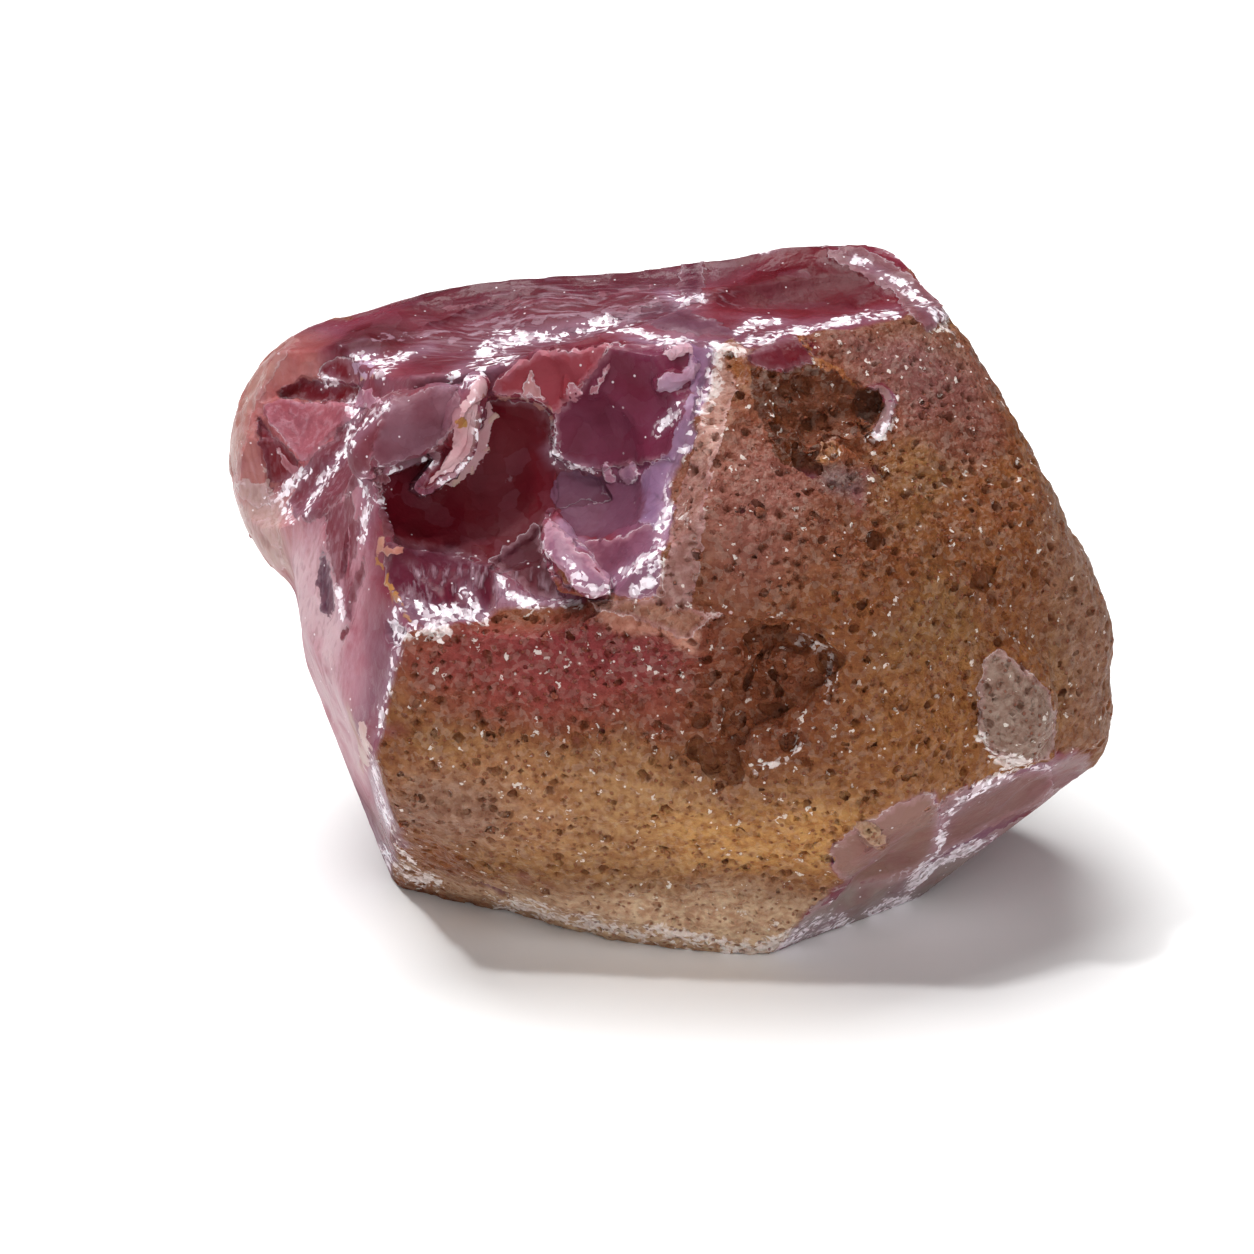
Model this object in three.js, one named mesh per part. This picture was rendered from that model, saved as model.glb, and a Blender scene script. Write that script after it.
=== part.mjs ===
// A lump of rough carnelian, broken from a nodule and resting on a flat broken face.
// Millimetres, +Z up, +X to the right of the front, -Y the front. The origin is the
// middle of the lump's bounding box, at the level of the resting face.
//
// The form is written as a distance: how far a point lies outside the stone. It is
// made in the order nature made it: a worn nodule, the flat breaks that took its sides
// off, the lobes left standing, the breaks across its top, the shell-shaped scars
// struck out of all of these, and the larger pits of the worn skin. Each vertex of a
// fine sphere is then drawn in from outside until that distance is nothing.

import * as THREE from "three";
import { ImprovedNoise } from "three/addons/math/ImprovedNoise.js";
import { mergeVertices } from "three/addons/utils/BufferGeometryUtils.js";

// Driving dimensions: the lump's own length, depth and height, and its middle.
const LENGTH = 62;
const DEPTH = 42;
const HEIGHT = 43;
const MIDDLE = new THREE.Vector3(0, 0, HEIGHT / 2 - 0.5);

// The nodule's own worn skin: an ellipsoid a little larger than the lump, flattened
// by worn sides. Each side faces a bearing round +Z, is tipped up by lift, both in
// degrees, and lies at its reach from the middle.
const NODULE_RADII = [LENGTH * 0.62, DEPTH * 0.64, HEIGHT * 0.66];
const WORN_ROUNDING = 5;
const WORN_SIDES = {
  front: { bearing: -95, lift: 2, reach: 20.0 },
  frontRight: { bearing: -55, lift: 4, reach: 25.4 },
  right: { bearing: -4, lift: -4, reach: 31.2 },
  rightShoulder: { bearing: 10, lift: 27, reach: 27.0 },
  rightCorner: { bearing: 5, lift: 46, reach: 29.0 },
  frontShoulder: { bearing: -66, lift: 46, reach: 22.6 },
  frontUnder: { bearing: -94, lift: -24, reach: 21.2 },
  frontLeftUnder: { bearing: -117, lift: -45, reach: 23.8 },
  back: { bearing: 92, lift: 4, reach: 20.9 },
  backRight: { bearing: 44, lift: -6, reach: 26.5 },
  backLeft: { bearing: 138, lift: 10, reach: 27 },
  backTop: { bearing: 100, lift: 44, reach: 24 },
};

// The flat breaks down its sides, sharp where they meet.
const BREAK_ROUNDING = 0.6;
const SIDE_BREAKS = {
  hollowSide: { bearing: -112, lift: 37, reach: 20.8 },
  leftStrip: { bearing: -150, lift: 12, reach: 24.0 },
  leftStripBack: { bearing: -172, lift: -4, reach: 25.4 },
  leftUnder: { bearing: 176, lift: -20, reach: 25.4 },
  lowerLeft: { bearing: -160, lift: -17, reach: 25.0 },
  lowerRight: { bearing: -52, lift: -38, reach: 24.7 },
  rightUnder: { bearing: -14, lift: -46, reach: 28.2 },
  backUnder: { bearing: 75, lift: -38, reach: 24.5 },
};

// Rounded lobes of the nodule that the side breaks left standing. Each is an
// ellipsoid: its middle, its three radii, and its turn about X, Y and Z in degrees.
const LOBE_ROUNDING = 2.4;
const LOBES = {
  leftLobe: { at: [-21.5, 7.5, 28.6], radii: [9.6, 12.5, 10.2], turn: [0, 0, 14] },
  backBulge: { at: [6, 13.2, 17], radii: [11, 7.5, 9], turn: [0, 20, 0] },
  ledgeTip: { at: [0.6, -18.8, 26.2], radii: [3.4, 2.3, 1.5], turn: [0, 20, 0] },
  palePatch: { at: [22.2, -14.2, 19.6], radii: [3.2, 3.4, 4.8], turn: [0, -12, -35] },
};

// The breaks across the top, which cut the lobes too.
const TOP_BREAKS = {
  topRight: { bearing: -100, lift: 87, reach: 21.1 },
  topLeft: { bearing: 171, lift: 76, reach: 22.1 },
};

// Shell-shaped scars, each struck out by an ellipsoid given as the lobes are.
const SCAR_ROUNDING = 0.4;
const SCARS = {
  topTrough: { at: [-10, 4, 65], radii: [44, 24, 26], turn: [0, -11, 4] },
  topPan: { at: [10, 3, 62.5], radii: [22, 20, 21.5] },
  hollow: { at: [-9.5, -20.5, 40.5], radii: [15.5, 12, 12] },
  hollowPocket: { at: [-12.8, -14.9, 34.9], radii: [7, 6, 6] },
  hollowFlow: { at: [-14, -20.5, 36.5], radii: [7.5, 8, 9.5], turn: [0, 12, 0] },
  lobeCup: { at: [-27, -5.5, 35], radii: [7, 7.5, 6] },
  recess: { at: [6.0, -22.2, 22.4], radii: [4.2, 4, 7.4], turn: [0, 38, 0] },
  nook: { at: [10.4, -13.2, 40.6], radii: [4.6, 4, 4], turn: [0, 20, 0] },
  lowerFacet: { at: [19.6, -19.6, -1.2], radii: [12, 12, 12] },
  sideFacet: { at: [31.0, -14.6, 3.6], radii: [12, 12, 12] },
  stripFlute: { at: [-34, -22, 22], radii: [14, 12.5, 26], turn: [14, -4, 0] },
  underFlake: { at: [-35, 4, 4], radii: [13, 12, 14] },
  backFlake: { at: [-19, 31, 30], radii: [15, 13, 12], turn: [0, 30, 10] },
  backChip: { at: [20, 27, 33], radii: [9, 9, 7] },
  backNotch: { at: [1, 26.5, 6], radii: [8, 8, 6] },
};

// Waves of the worn skin: length of a wave and its height.
const SKIN_WAVES = [
  { length: 13, height: 0.9 },
  { length: 5.5, height: 0.45 },
];

// Waves of a break, and the ripples that its bands leave on every break and scar. The
// bands lie across Y and swing to and fro.
const BREAK_WAVE = { length: 8, height: 0.7 };
const BAND_SWING = { length: 12, height: 5 };
const RIPPLE_LENGTH = 4.2;
const RIPPLE_HEIGHT = 0.13;

// Larger pits in the worn skin, spread evenly round the lump. A pit is kept where the
// lump's surface lies within the limit of the worn skin.
const PIT_COUNT = 46;
const PIT_RADIUS = 1.7;
const PIT_DEPTH = 0.8;
const PIT_SKIN_LIMIT = 0.05;
const GOLDEN_ANGLE = Math.PI * (3 - Math.sqrt(5));

// The sphere that is drawn in, and the steps in which each vertex moves.
const SPHERE_DETAIL = 21;
const START_REACH = 48;
const STEPS = 70;
const STEP_SHARE = 0.8;

const MERGE_GAP = 1e-5;

const noise = new ImprovedNoise();
const degrees = THREE.MathUtils.degToRad;

function directionOf({ bearing, lift }) {
  const level = Math.cos(degrees(lift));
  return new THREE.Vector3(
    level * Math.cos(degrees(bearing)),
    level * Math.sin(degrees(bearing)),
    Math.sin(degrees(lift)),
  );
}

function planesOf(faces) {
  return Object.values(faces).map((face) => ({
    normal: directionOf(face),
    reach: face.reach,
  }));
}

function toolsOf(ellipsoids) {
  return Object.values(ellipsoids).map(({ at, radii, turn = [0, 0, 0] }) => ({
    middle: new THREE.Vector3(...at),
    radii: new THREE.Vector3(...radii),
    untwist: new THREE.Matrix4()
      .makeRotationFromEuler(new THREE.Euler(...turn.map(degrees), "ZYX"))
      .invert(),
  }));
}

const wornPlanes = planesOf(WORN_SIDES);
const sideBreakPlanes = planesOf(SIDE_BREAKS);
const topBreakPlanes = planesOf(TOP_BREAKS);
const lobeTools = toolsOf(LOBES);
const scarTools = toolsOf(SCARS);
const noduleRadii = new THREE.Vector3(...NODULE_RADII);

// The larger of two distances, rounded over where they are nearly equal.
function roundedMax(a, b, rounding) {
  const near = Math.max(rounding - Math.abs(a - b), 0) / rounding;
  return Math.max(a, b) + (near * near * rounding) / 4;
}

// About how far an offset lies outside an ellipsoid, exact on its surface.
function ellipsoidDistance(offset, radii) {
  const scaled = offset.clone().divide(radii);
  const steepness = scaled.clone().divide(radii).length();
  const level = scaled.length();
  return steepness === 0 ? -radii.x : (level * (level - 1)) / steepness;
}

function planeDistance(plane, offset) {
  return plane.normal.dot(offset) - plane.reach;
}

function toolDistance(tool, point) {
  const offset = point.clone().sub(tool.middle).applyMatrix4(tool.untwist);
  return ellipsoidDistance(offset, tool.radii);
}

function waveAt(point, { length, height }) {
  return height * noise.noise(point.x / length, point.y / length, point.z / length);
}

function rippleAt(point) {
  const turns = (point.y + waveAt(point, BAND_SWING)) / RIPPLE_LENGTH;
  return RIPPLE_HEIGHT * Math.sin(turns * 2 * Math.PI);
}

// How far a point lies outside the worn skin, negative inside it.
function wornDistance(point) {
  const offset = point.clone().sub(MIDDLE);
  let worn = ellipsoidDistance(offset, noduleRadii);
  for (const plane of wornPlanes)
    worn = roundedMax(worn, planeDistance(plane, offset), WORN_ROUNDING);
  for (const wave of SKIN_WAVES)
    worn += waveAt(point, wave);
  return worn;
}

// A form's distance once uneven breaks have been struck off it.
function breakOff(form, planes, point) {
  const offset = point.clone().sub(MIDDLE);
  const uneven = waveAt(point, BREAK_WAVE) + rippleAt(point);
  let left = form;
  for (const plane of planes)
    left = roundedMax(left, planeDistance(plane, offset) + uneven, BREAK_ROUNDING);
  return left;
}

// How far a point lies outside the broken lump before it has its pits.
function brokenDistance(point) {
  let lump = breakOff(wornDistance(point), sideBreakPlanes, point);
  for (const tool of lobeTools)
    lump = -roundedMax(-lump, -toolDistance(tool, point), LOBE_ROUNDING);
  lump = breakOff(lump, topBreakPlanes, point);
  for (const tool of scarTools)
    lump = roundedMax(lump, rippleAt(point) - toolDistance(tool, point), SCAR_ROUNDING);
  return Math.max(lump, -point.z);
}

// The point where a ray out from the middle leaves a form.
function surfacePoint(direction, distance) {
  let reach = START_REACH;
  const point = new THREE.Vector3();
  for (let step = 0; step < STEPS; step += 1) {
    point.copy(direction).multiplyScalar(reach).add(MIDDLE);
    reach -= distance(point) * STEP_SHARE;
  }
  return point.copy(direction).multiplyScalar(reach).add(MIDDLE);
}

// Pit middles: evenly turned directions, kept where they meet worn skin.
function pitMiddles() {
  const middles = [];
  for (let i = 0; i < PIT_COUNT; i += 1) {
    const rise = 1 - (2 * i + 1) / PIT_COUNT;
    const level = Math.sqrt(1 - rise * rise);
    const turn = i * GOLDEN_ANGLE;
    const out = new THREE.Vector3(level * Math.cos(turn), level * Math.sin(turn), rise);
    const skin = surfacePoint(out, brokenDistance);
    if (Math.abs(wornDistance(skin)) < PIT_SKIN_LIMIT)
      middles.push(skin.addScaledVector(out, PIT_RADIUS - PIT_DEPTH));
  }
  return middles;
}

// How far a point lies outside the finished lump.
function stoneDistance(point, pits) {
  let lump = brokenDistance(point);
  for (const pit of pits)
    lump = Math.max(lump, PIT_RADIUS - point.distanceTo(pit));
  return lump;
}

function stoneGeometry() {
  const sphere = new THREE.IcosahedronGeometry(1, SPHERE_DETAIL);
  sphere.deleteAttribute("normal");
  sphere.deleteAttribute("uv");
  const geometry = mergeVertices(sphere, MERGE_GAP);
  const pits = pitMiddles();
  const places = geometry.getAttribute("position");
  const out = new THREE.Vector3();
  for (let i = 0; i < places.count; i += 1) {
    out.fromBufferAttribute(places, i).normalize();
    const point = surfacePoint(out, (place) => stoneDistance(place, pits));
    places.setXYZ(i, point.x, point.y, Math.max(point.z, 0));
  }
  geometry.computeVertexNormals();
  return geometry;
}

const carnelian = new THREE.MeshStandardMaterial({
  color: 0x9a5a4e,
  roughness: 0.45,
  metalness: 0,
});
const lump = new THREE.Mesh(stoneGeometry(), carnelian);
lump.name = "rough_carnelian";

const stone = new THREE.Group();
stone.add(lump);

export default stone;
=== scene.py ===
"""Rough carnelian: a worn, sandy nodule broken open to glassy red and lilac chalcedony.

Lengths in the tables are millimetres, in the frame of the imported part: +Z up, +X to the
right of the front, -Y the front. The lump is made in the order nature made it: the worn
nodule, the flat breaks down its sides, the lobes left standing, the breaks across its
top, the shell-shaped scars, then chips, flakes and pits, and last the fine relief.
"""

import math
import random

import bpy
import numpy as np
from mathutils import Euler, Matrix, Vector, noise
from mathutils.bvhtree import BVHTree


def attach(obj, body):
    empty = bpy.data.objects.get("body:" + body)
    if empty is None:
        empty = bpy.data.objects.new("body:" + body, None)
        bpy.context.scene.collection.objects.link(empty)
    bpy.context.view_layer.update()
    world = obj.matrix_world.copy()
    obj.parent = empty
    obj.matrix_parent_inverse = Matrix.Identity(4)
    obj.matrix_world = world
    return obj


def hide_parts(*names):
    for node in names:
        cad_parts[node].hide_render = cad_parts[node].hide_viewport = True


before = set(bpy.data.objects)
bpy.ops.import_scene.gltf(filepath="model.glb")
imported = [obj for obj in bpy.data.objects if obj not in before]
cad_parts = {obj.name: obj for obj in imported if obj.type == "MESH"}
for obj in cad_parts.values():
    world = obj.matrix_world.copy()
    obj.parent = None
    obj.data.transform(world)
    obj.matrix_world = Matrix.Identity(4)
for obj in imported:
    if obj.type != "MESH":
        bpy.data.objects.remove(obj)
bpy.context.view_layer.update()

MM = 0.001
NODE = "rough_carnelian"
MIDDLE = (0, 0, 21)
SEED = 7

# ---------------------------------------------------------------- the lump's main form
# A side or break faces a bearing round +Z, is tipped up by a lift, both in degrees, and
# lies at its reach from the middle.
NODULE_RADII = (38.4, 26.9, 28.4)
WORN_SIDES = {
    "front": (-95, 2, 20.0),
    "front right": (-55, 4, 25.4),
    "right": (-4, -4, 31.2),
    "right shoulder": (10, 27, 26.5),
    "right corner": (5, 46, 28.2),
    "front shoulder": (-66, 46, 22.6),
    "front under": (-94, -24, 21.2),
    "front left under": (-117, -45, 23.4),
    "back": (92, 4, 20.9),
    "back right": (44, -6, 26.5),
    "back left": (138, 10, 27.0),
    "back top": (96, 46, 23.6),
}
SIDE_BREAKS = {
    "hollow side": (-112, 37, 20.8),
    "left strip": (-150, 12, 24.0),
    "left strip back": (-172, -4, 25.4),
    "left under": (176, -20, 25.4),
    "lower left": (-160, -17, 24.3),
    "bottom left": (-145, -40, 27.3),
    "lower right": (-52, -38, 24.7),
    "right under": (-14, -46, 28.2),
    "back under": (75, -38, 24.5),
}
TOP_BREAKS = {
    "top right": (-100, 87, 21.1),
    "top left": (171, 76, 22.1),
}
# An ellipsoid: its middle, its three radii, and its turn about X, Y and Z in degrees.
LOBES = {
    "left lobe": ((-21.2, 7.5, 28.2), (9.6, 12.5, 10.2), (0, 0, 14)),
    "back bulge": ((6, 13.2, 17), (11, 7.5, 9), (0, 20, 0)),
    "ledge tip": ((0.6, -18.8, 26.2), (3.4, 2.3, 1.5), (0, 20, 0)),
    "pale patch": ((22.2, -14.2, 19.6), (3.2, 3.4, 4.8), (0, -12, -35)),
}
SCARS = {
    "top trough": ((-10, 4, 65), (44, 24, 26), (0, -11, 4)),
    "top pan": ((10, 3, 62.5), (22, 20, 21.5), (0, 0, 0)),
    "hollow": ((-10.4, -20.5, 40.5), (14.4, 12, 12), (0, 0, 0)),
    "hollow pocket": ((-12.8, -14.9, 34.9), (7, 6, 6), (0, 0, 0)),
    "hollow flow": ((-14, -20.5, 36.5), (7.5, 8, 9.5), (0, 12, 0)),
    "lobe cup": ((-27, -5.5, 35), (7, 7.5, 6), (0, 0, 0)),
    "recess": ((5.6, -22.4, 21.8), (2.9, 4.2, 4.6), (0, 30, 0)),
    "recess head": ((7.2, -21.6, 25.6), (3.6, 3.2, 1.9), (0, -10, 0)),
    "recess side": ((9.4, -21.6, 23.2), (1.4, 2.8, 2.8), (0, 20, 0)),
    "recess foot": ((3.4, -22.4, 17.9), (3.2, 3.2, 2.0), (0, -12, 0)),
    "nook": ((10.4, -13.2, 40.6), (4.6, 4, 4), (0, 20, 0)),
    "nook right": ((12.8, -11.4, 41.0), (3.6, 3.4, 3.2), (0, 20, 0)),
    "nook foot": ((9.4, -16.4, 37.8), (2.8, 2.6, 2.8), (0, 20, 0)),
    "lower facet": ((20.2, -20.4, -1.9), (12, 12, 12), (0, 0, 0)),
    "side facet": ((32.4, -15.6, 2.6), (12, 12, 12), (0, 0, 0)),
    "strip flute": ((-34, -22, 22), (14, 12.5, 26), (14, -4, 0)),
    "under flake": ((-35, 4, 4), (13, 12, 14), (0, 0, 0)),
    "back flake": ((-19, 31, 30), (15, 13, 12), (0, 30, 10)),
    "back chip": ((20, 27, 33), (9, 9, 7), (0, 0, 0)),
    "back notch": ((1, 26.5, 6), (8, 8, 6), (0, 0, 0)),
}
RAW_SCARS = (
    "recess",
    "recess head",
    "recess side",
    "recess foot",
    "nook",
    "nook right",
    "nook foot",
    "back notch",
)
WORN_VOXEL = 0.7
WORN_SMOOTHING = 100
WORN_AWAY = 0.3
FORM_VOXEL = 0.5
TOOL_VOXEL = 0.35
FINE_VOXEL = 0.25
TRIANGLE_LIMIT = 190_000

# ---------------------------------------------------------------- flakes and chips
# A scar struck where a place lies nearest the surface: the place, the scar's radii across,
# along and into the surface, how deep it bites, and its turn on the surface in degrees.
STRUCK = {
    "roof left": ((-15.5, -8.0, 38.4), (5, 5, 8), 0.5, 20),
    "roof middle": ((-10.6, -8.2, 39.4), (5, 5, 8), 0.8, 0),
    "roof right": ((-7.2, -8.5, 39.8), (4, 5, 7), 0.7, -20),
    "upper corner": ((1.2, -10.8, 39.8), (7, 8, 9), 1.3, 20),
    "plum face": ((-1.8, -10.2, 37.6), (11, 12, 14), 1.0, 20),
    "plum low": ((-2.6, -12.4, 34.0), (8, 7, 12), 0.7, 0),
    "under plum": ((-6.6, -10.8, 33.4), (5, 4, 6), 0.7, -10),
    "pocket left": ((-15.6, -11.4, 32.4), (6, 5, 8), 1.4, 0),
    "pocket back": ((-10.8, -9.4, 34.4), (5, 6, 8), 1.4, 10),
    "floor left": ((-14.6, -14.8, 29.6), (8, 7, 11), 0.7, 0),
    "floor right": ((-4.0, -15.6, 30.2), (8, 7, 11), 0.6, 0),
    "dark scallop": ((-9.4, -17.4, 29.0), (1.8, 1.6, 1.4), 0.8, 0),
    "right groove": ((-6.4, -17.2, 29.4), (0.7, 2.2, 1.2), 0.8, 15),
    "far groove": ((-3.8, -17.4, 29.4), (0.8, 2.0, 1.4), 0.7, -10),
    "lobe facet": ((-25.4, 0.6, 36.4), (6, 5, 8), 0.9, 10),
    "lobe lower facet": ((-26.6, 1.0, 31.4), (6, 7, 9), 0.8, 15),
    "lobe crevice": ((-25.2, -1.2, 30.6), (1.2, 4, 3), 0.8, 20),
    "ring pit": ((-20.2, -3.8, 39.0), (1.1, 1.0, 1.2), 0.9, 0),
    "strip slit": ((-21.2, -9.0, 26.4), (0.5, 3.4, 0.9), 0.5, 8),
    "strip shell": ((-22.4, -9.6, 19.4), (2.6, 5.0, 9.0), 0.4, 0),
    "lower strip shell": ((-21.6, -9.0, 13.6), (3.0, 4.0, 7.0), 0.5, -10),
    "top facet": ((0.6, 8.8, 41.8), (2.6, 4.2, 5.0), 0.7, 20),
    "pan step": ((4.4, 1.0, 41.2), (5.0, 2.2, 6.0), 0.5, -8),
    "pan shell": ((13.0, 4.0, 41.4), (5.4, 4.0, 12.0), 0.5, 0),
    "trough step": ((-9.4, 1.4, 39.6), (6.0, 1.8, 4.0), 0.5, 8),
    "trough back step": ((-14.6, 7.6, 39.0), (6.6, 2.0, 4.0), 0.4, 4),
    "front rim chip": ((-10.8, -6.4, 40.6), (2.6, 1.4, 1.6), 0.6, 0),
    "front rim bite": ((-6.0, -6.8, 41.0), (2.2, 1.2, 1.4), 0.5, 0),
    "lower glass face": ((16.4, -14.8, 9.8), (3.6, 3.6, 9.0), 0.5, 0),
    "side glass face": ((24.6, -9.6, 11.6), (4.0, 3.0, 9.0), 0.5, 0),
}
# Cavities in the sandy skin: the place, the radius and the depth.
CAVITIES = {
    "recess top": ((6.8, -18.9, 25.8), 0.9, 1.4),
    "recess edge upper": ((9.8, -19.6, 25.8), 0.6, 1.0),
    "recess edge": ((9.9, -19.8, 24.4), 0.7, 1.1),
    "recess foot left": ((1.8, -20.0, 18.2), 0.8, 1.2),
    "recess foot": ((3.0, -20.0, 17.2), 0.9, 1.2),
    "recess foot right": ((4.2, -20.0, 16.9), 0.7, 1.1),
    "recess right": ((7.8, -20.1, 18.9), 0.7, 1.1),
    "nook cavity": ((13.2, -9.8, 38.2), 1.2, 1.8),
    "nook cavity left": ((11.6, -10.6, 38.4), 0.9, 1.2),
    "nook slot": ((9.2, -14.6, 35.9), 0.8, 1.5),
    "nook slot left": ((8.4, -14.4, 36.1), 0.6, 1.0),
    "nook crumb": ((10.6, -13.8, 36.6), 0.6, 0.9),
    "shoulder pit": ((13.3, -17.5, 31.8), 0.6, 0.9),
    "side pit": ((20.8, -15.7, 28.4), 0.8, 1.1),
    "side pit lower": ((21.2, -15.8, 26.8), 0.5, 0.8),
    "bottom notch": ((-11.7, -12.1, 3.4), 0.9, 1.0),
    "bottom notch left": ((-12.6, -11.6, 3.6), 0.7, 0.8),
}


def deselect():
    bpy.ops.object.select_all(action="DESELECT")


def work_on(obj):
    """Selects obj alone and makes it the active object."""
    deselect()
    obj.select_set(True)
    bpy.context.view_layer.objects.active = obj


def apply_modifier(obj, kind, **settings):
    """Adds a modifier with its settings and applies it."""
    work_on(obj)
    modifier = obj.modifiers.new(kind.lower(), kind)
    for name, value in settings.items():
        setattr(modifier, name, value)
    bpy.ops.object.modifier_apply(modifier=modifier.name)


def facing(bearing, lift):
    level = math.cos(math.radians(lift))
    turn = math.radians(bearing)
    return Vector((level * math.cos(turn), level * math.sin(turn), math.sin(math.radians(lift))))


def ellipsoid(name, at, radii, turn=(0, 0, 0), detail=5):
    """A closed ellipsoid with its place, turn and size in its mesh."""
    deselect()
    bpy.ops.mesh.primitive_ico_sphere_add(
        subdivisions=detail,
        radius=MM,
        location=Vector(at) * MM,
        rotation=[math.radians(a) for a in turn],
    )
    ball = bpy.context.object
    ball.name = name
    ball.scale = radii
    bpy.ops.object.transform_apply(location=True, rotation=True, scale=True)
    return ball


def joined(objects):
    """The objects joined in one, which is the first of them."""
    deselect()
    for obj in objects:
        obj.select_set(True)
    bpy.context.view_layer.objects.active = objects[0]
    if len(objects) > 1:
        bpy.ops.object.join()
    return bpy.context.object


def strike_off(obj, faces):
    """Cuts each face off the lump and closes the cut."""
    work_on(obj)
    bpy.ops.object.mode_set(mode="EDIT")
    for bearing, lift, reach in faces.values():
        normal = facing(bearing, lift)
        bpy.ops.mesh.select_all(action="SELECT")
        bpy.ops.mesh.bisect(
            plane_co=(Vector(MIDDLE) + normal * reach) * MM,
            plane_no=normal,
            use_fill=True,
            clear_outer=True,
        )
    bpy.ops.object.mode_set(mode="OBJECT")


def remesh(obj, voxel):
    apply_modifier(obj, "REMESH", mode="VOXEL", voxel_size=voxel * MM)


def cut_away(obj, tools, voxel=TOOL_VOXEL):
    """Cuts closed tools out of the lump, melted into one first where they overlap."""
    tool = joined(tools)
    if voxel:
        remesh(tool, voxel)
    apply_modifier(obj, "BOOLEAN", operation="DIFFERENCE", solver="MANIFOLD", object=tool)
    bpy.data.objects.remove(tool)


def surface_of(obj):
    return BVHTree.FromObject(obj, bpy.context.evaluated_depsgraph_get())


def relief(obj, name, kind, size, height, group="", middle=0.5, along=None, ramp=None, **settings):
    """Raises and sinks the surface by a procedural pattern of one feature size.

    along is an Euler turn and a stretch, both about the part's own axes."""
    texture = bpy.data.textures.new(name, kind)
    texture.noise_scale = size * MM
    for key, value in settings.items():
        setattr(texture, key, value)
    if ramp:
        texture.use_color_ramp = True
        first, last = texture.color_ramp.elements
        first.position, last.position = ramp
        first.color = (0, 0, 0, 1)
        last.color = (1, 1, 1, 1)
    options = {"texture_coords": "LOCAL"}
    guide = None
    if along:
        turn, stretch = along
        guide = bpy.data.objects.new(name + "_guide", None)
        bpy.context.collection.objects.link(guide)
        guide.rotation_euler = [math.radians(a) for a in turn]
        guide.scale = stretch
        bpy.context.view_layer.update()
        options = {"texture_coords": "OBJECT", "texture_coords_object": guide}
    apply_modifier(
        obj,
        "DISPLACE",
        texture=texture,
        strength=height * MM,
        mid_level=middle,
        vertex_group=group,
        **options,
    )
    if guide:
        bpy.data.objects.remove(guide)
    bpy.data.textures.remove(texture)


def struck(surface, name, place, radii, depth, turn=0, detail=4):
    """A scar's ellipsoid, which bites into the surface nearest the place."""
    at, normal, _, _ = surface.find_nearest(Vector(place) * MM)
    across, along, into = radii
    aim = normal.to_track_quat("Z", "Y") @ Euler((0, 0, math.radians(turn))).to_quaternion()
    centre = at / MM + normal * (into - depth)
    angles = [math.degrees(a) for a in aim.to_euler()]
    return ellipsoid(name, centre, (across, along, into), angles, detail)


def scattered(surface, draw, middle, spread, count, radii, depth, stretch, along=None, on=None):
    """Scars struck at chance places in a box, all shaped from one ball.

    They lie along a direction, or any way round. on keeps them to one skin."""
    ball = ellipsoid("scar", (0, 0, 0), (1, 1, 1), detail=3)
    tools = []
    for number in range(count):
        place = [m + s * draw.uniform(-1, 1) for m, s in zip(middle, spread)]
        at, normal, _, _ = surface.find_nearest(Vector(place) * MM)
        size = draw.uniform(*radii)
        bite = draw.uniform(*depth)
        sway = Vector([draw.uniform(-1, 1) for _ in range(3)])
        forward = Vector(along) + sway * 0.2 if along else sway
        if on and on.find_nearest(at)[3] > 0.3 * MM:
            continue
        side = forward.cross(normal).normalized()
        aim = Matrix((side, normal.cross(side), normal)).transposed().to_quaternion()
        tool = ball.copy()
        tool.data = ball.data.copy()
        bpy.context.collection.objects.link(tool)
        tool.scale = (size, size * stretch, size)
        tool.rotation_mode = "QUATERNION"
        tool.rotation_quaternion = aim
        tool.location = at + normal * (size - bite) * MM
        tools.append(tool)
    bpy.data.objects.remove(ball)
    first = tools[0]
    work_on(first)
    bpy.context.view_layer.update()
    bpy.ops.object.transform_apply(location=True, rotation=True, scale=True)
    return tools


def chain(name, points, detail=3):
    """A bar of overlapping balls through points, each a place and three radii."""
    balls = []
    for (start, small), (end, large) in zip(points, points[1:]):
        for step in range(6):
            t = step / 5
            at = Vector(start).lerp(Vector(end), t)
            radii = Vector(small).lerp(Vector(large), t)
            balls.append(ellipsoid(name, at, radii, detail=detail))
    return balls


def roughened(tools, size, height):
    """The tools melted into one with an uneven surface."""
    tool = joined(tools)
    remesh(tool, 0.22)
    relief(tool, "uneven", "CLOUDS", size, height, noise_depth=2)
    return tool


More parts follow.
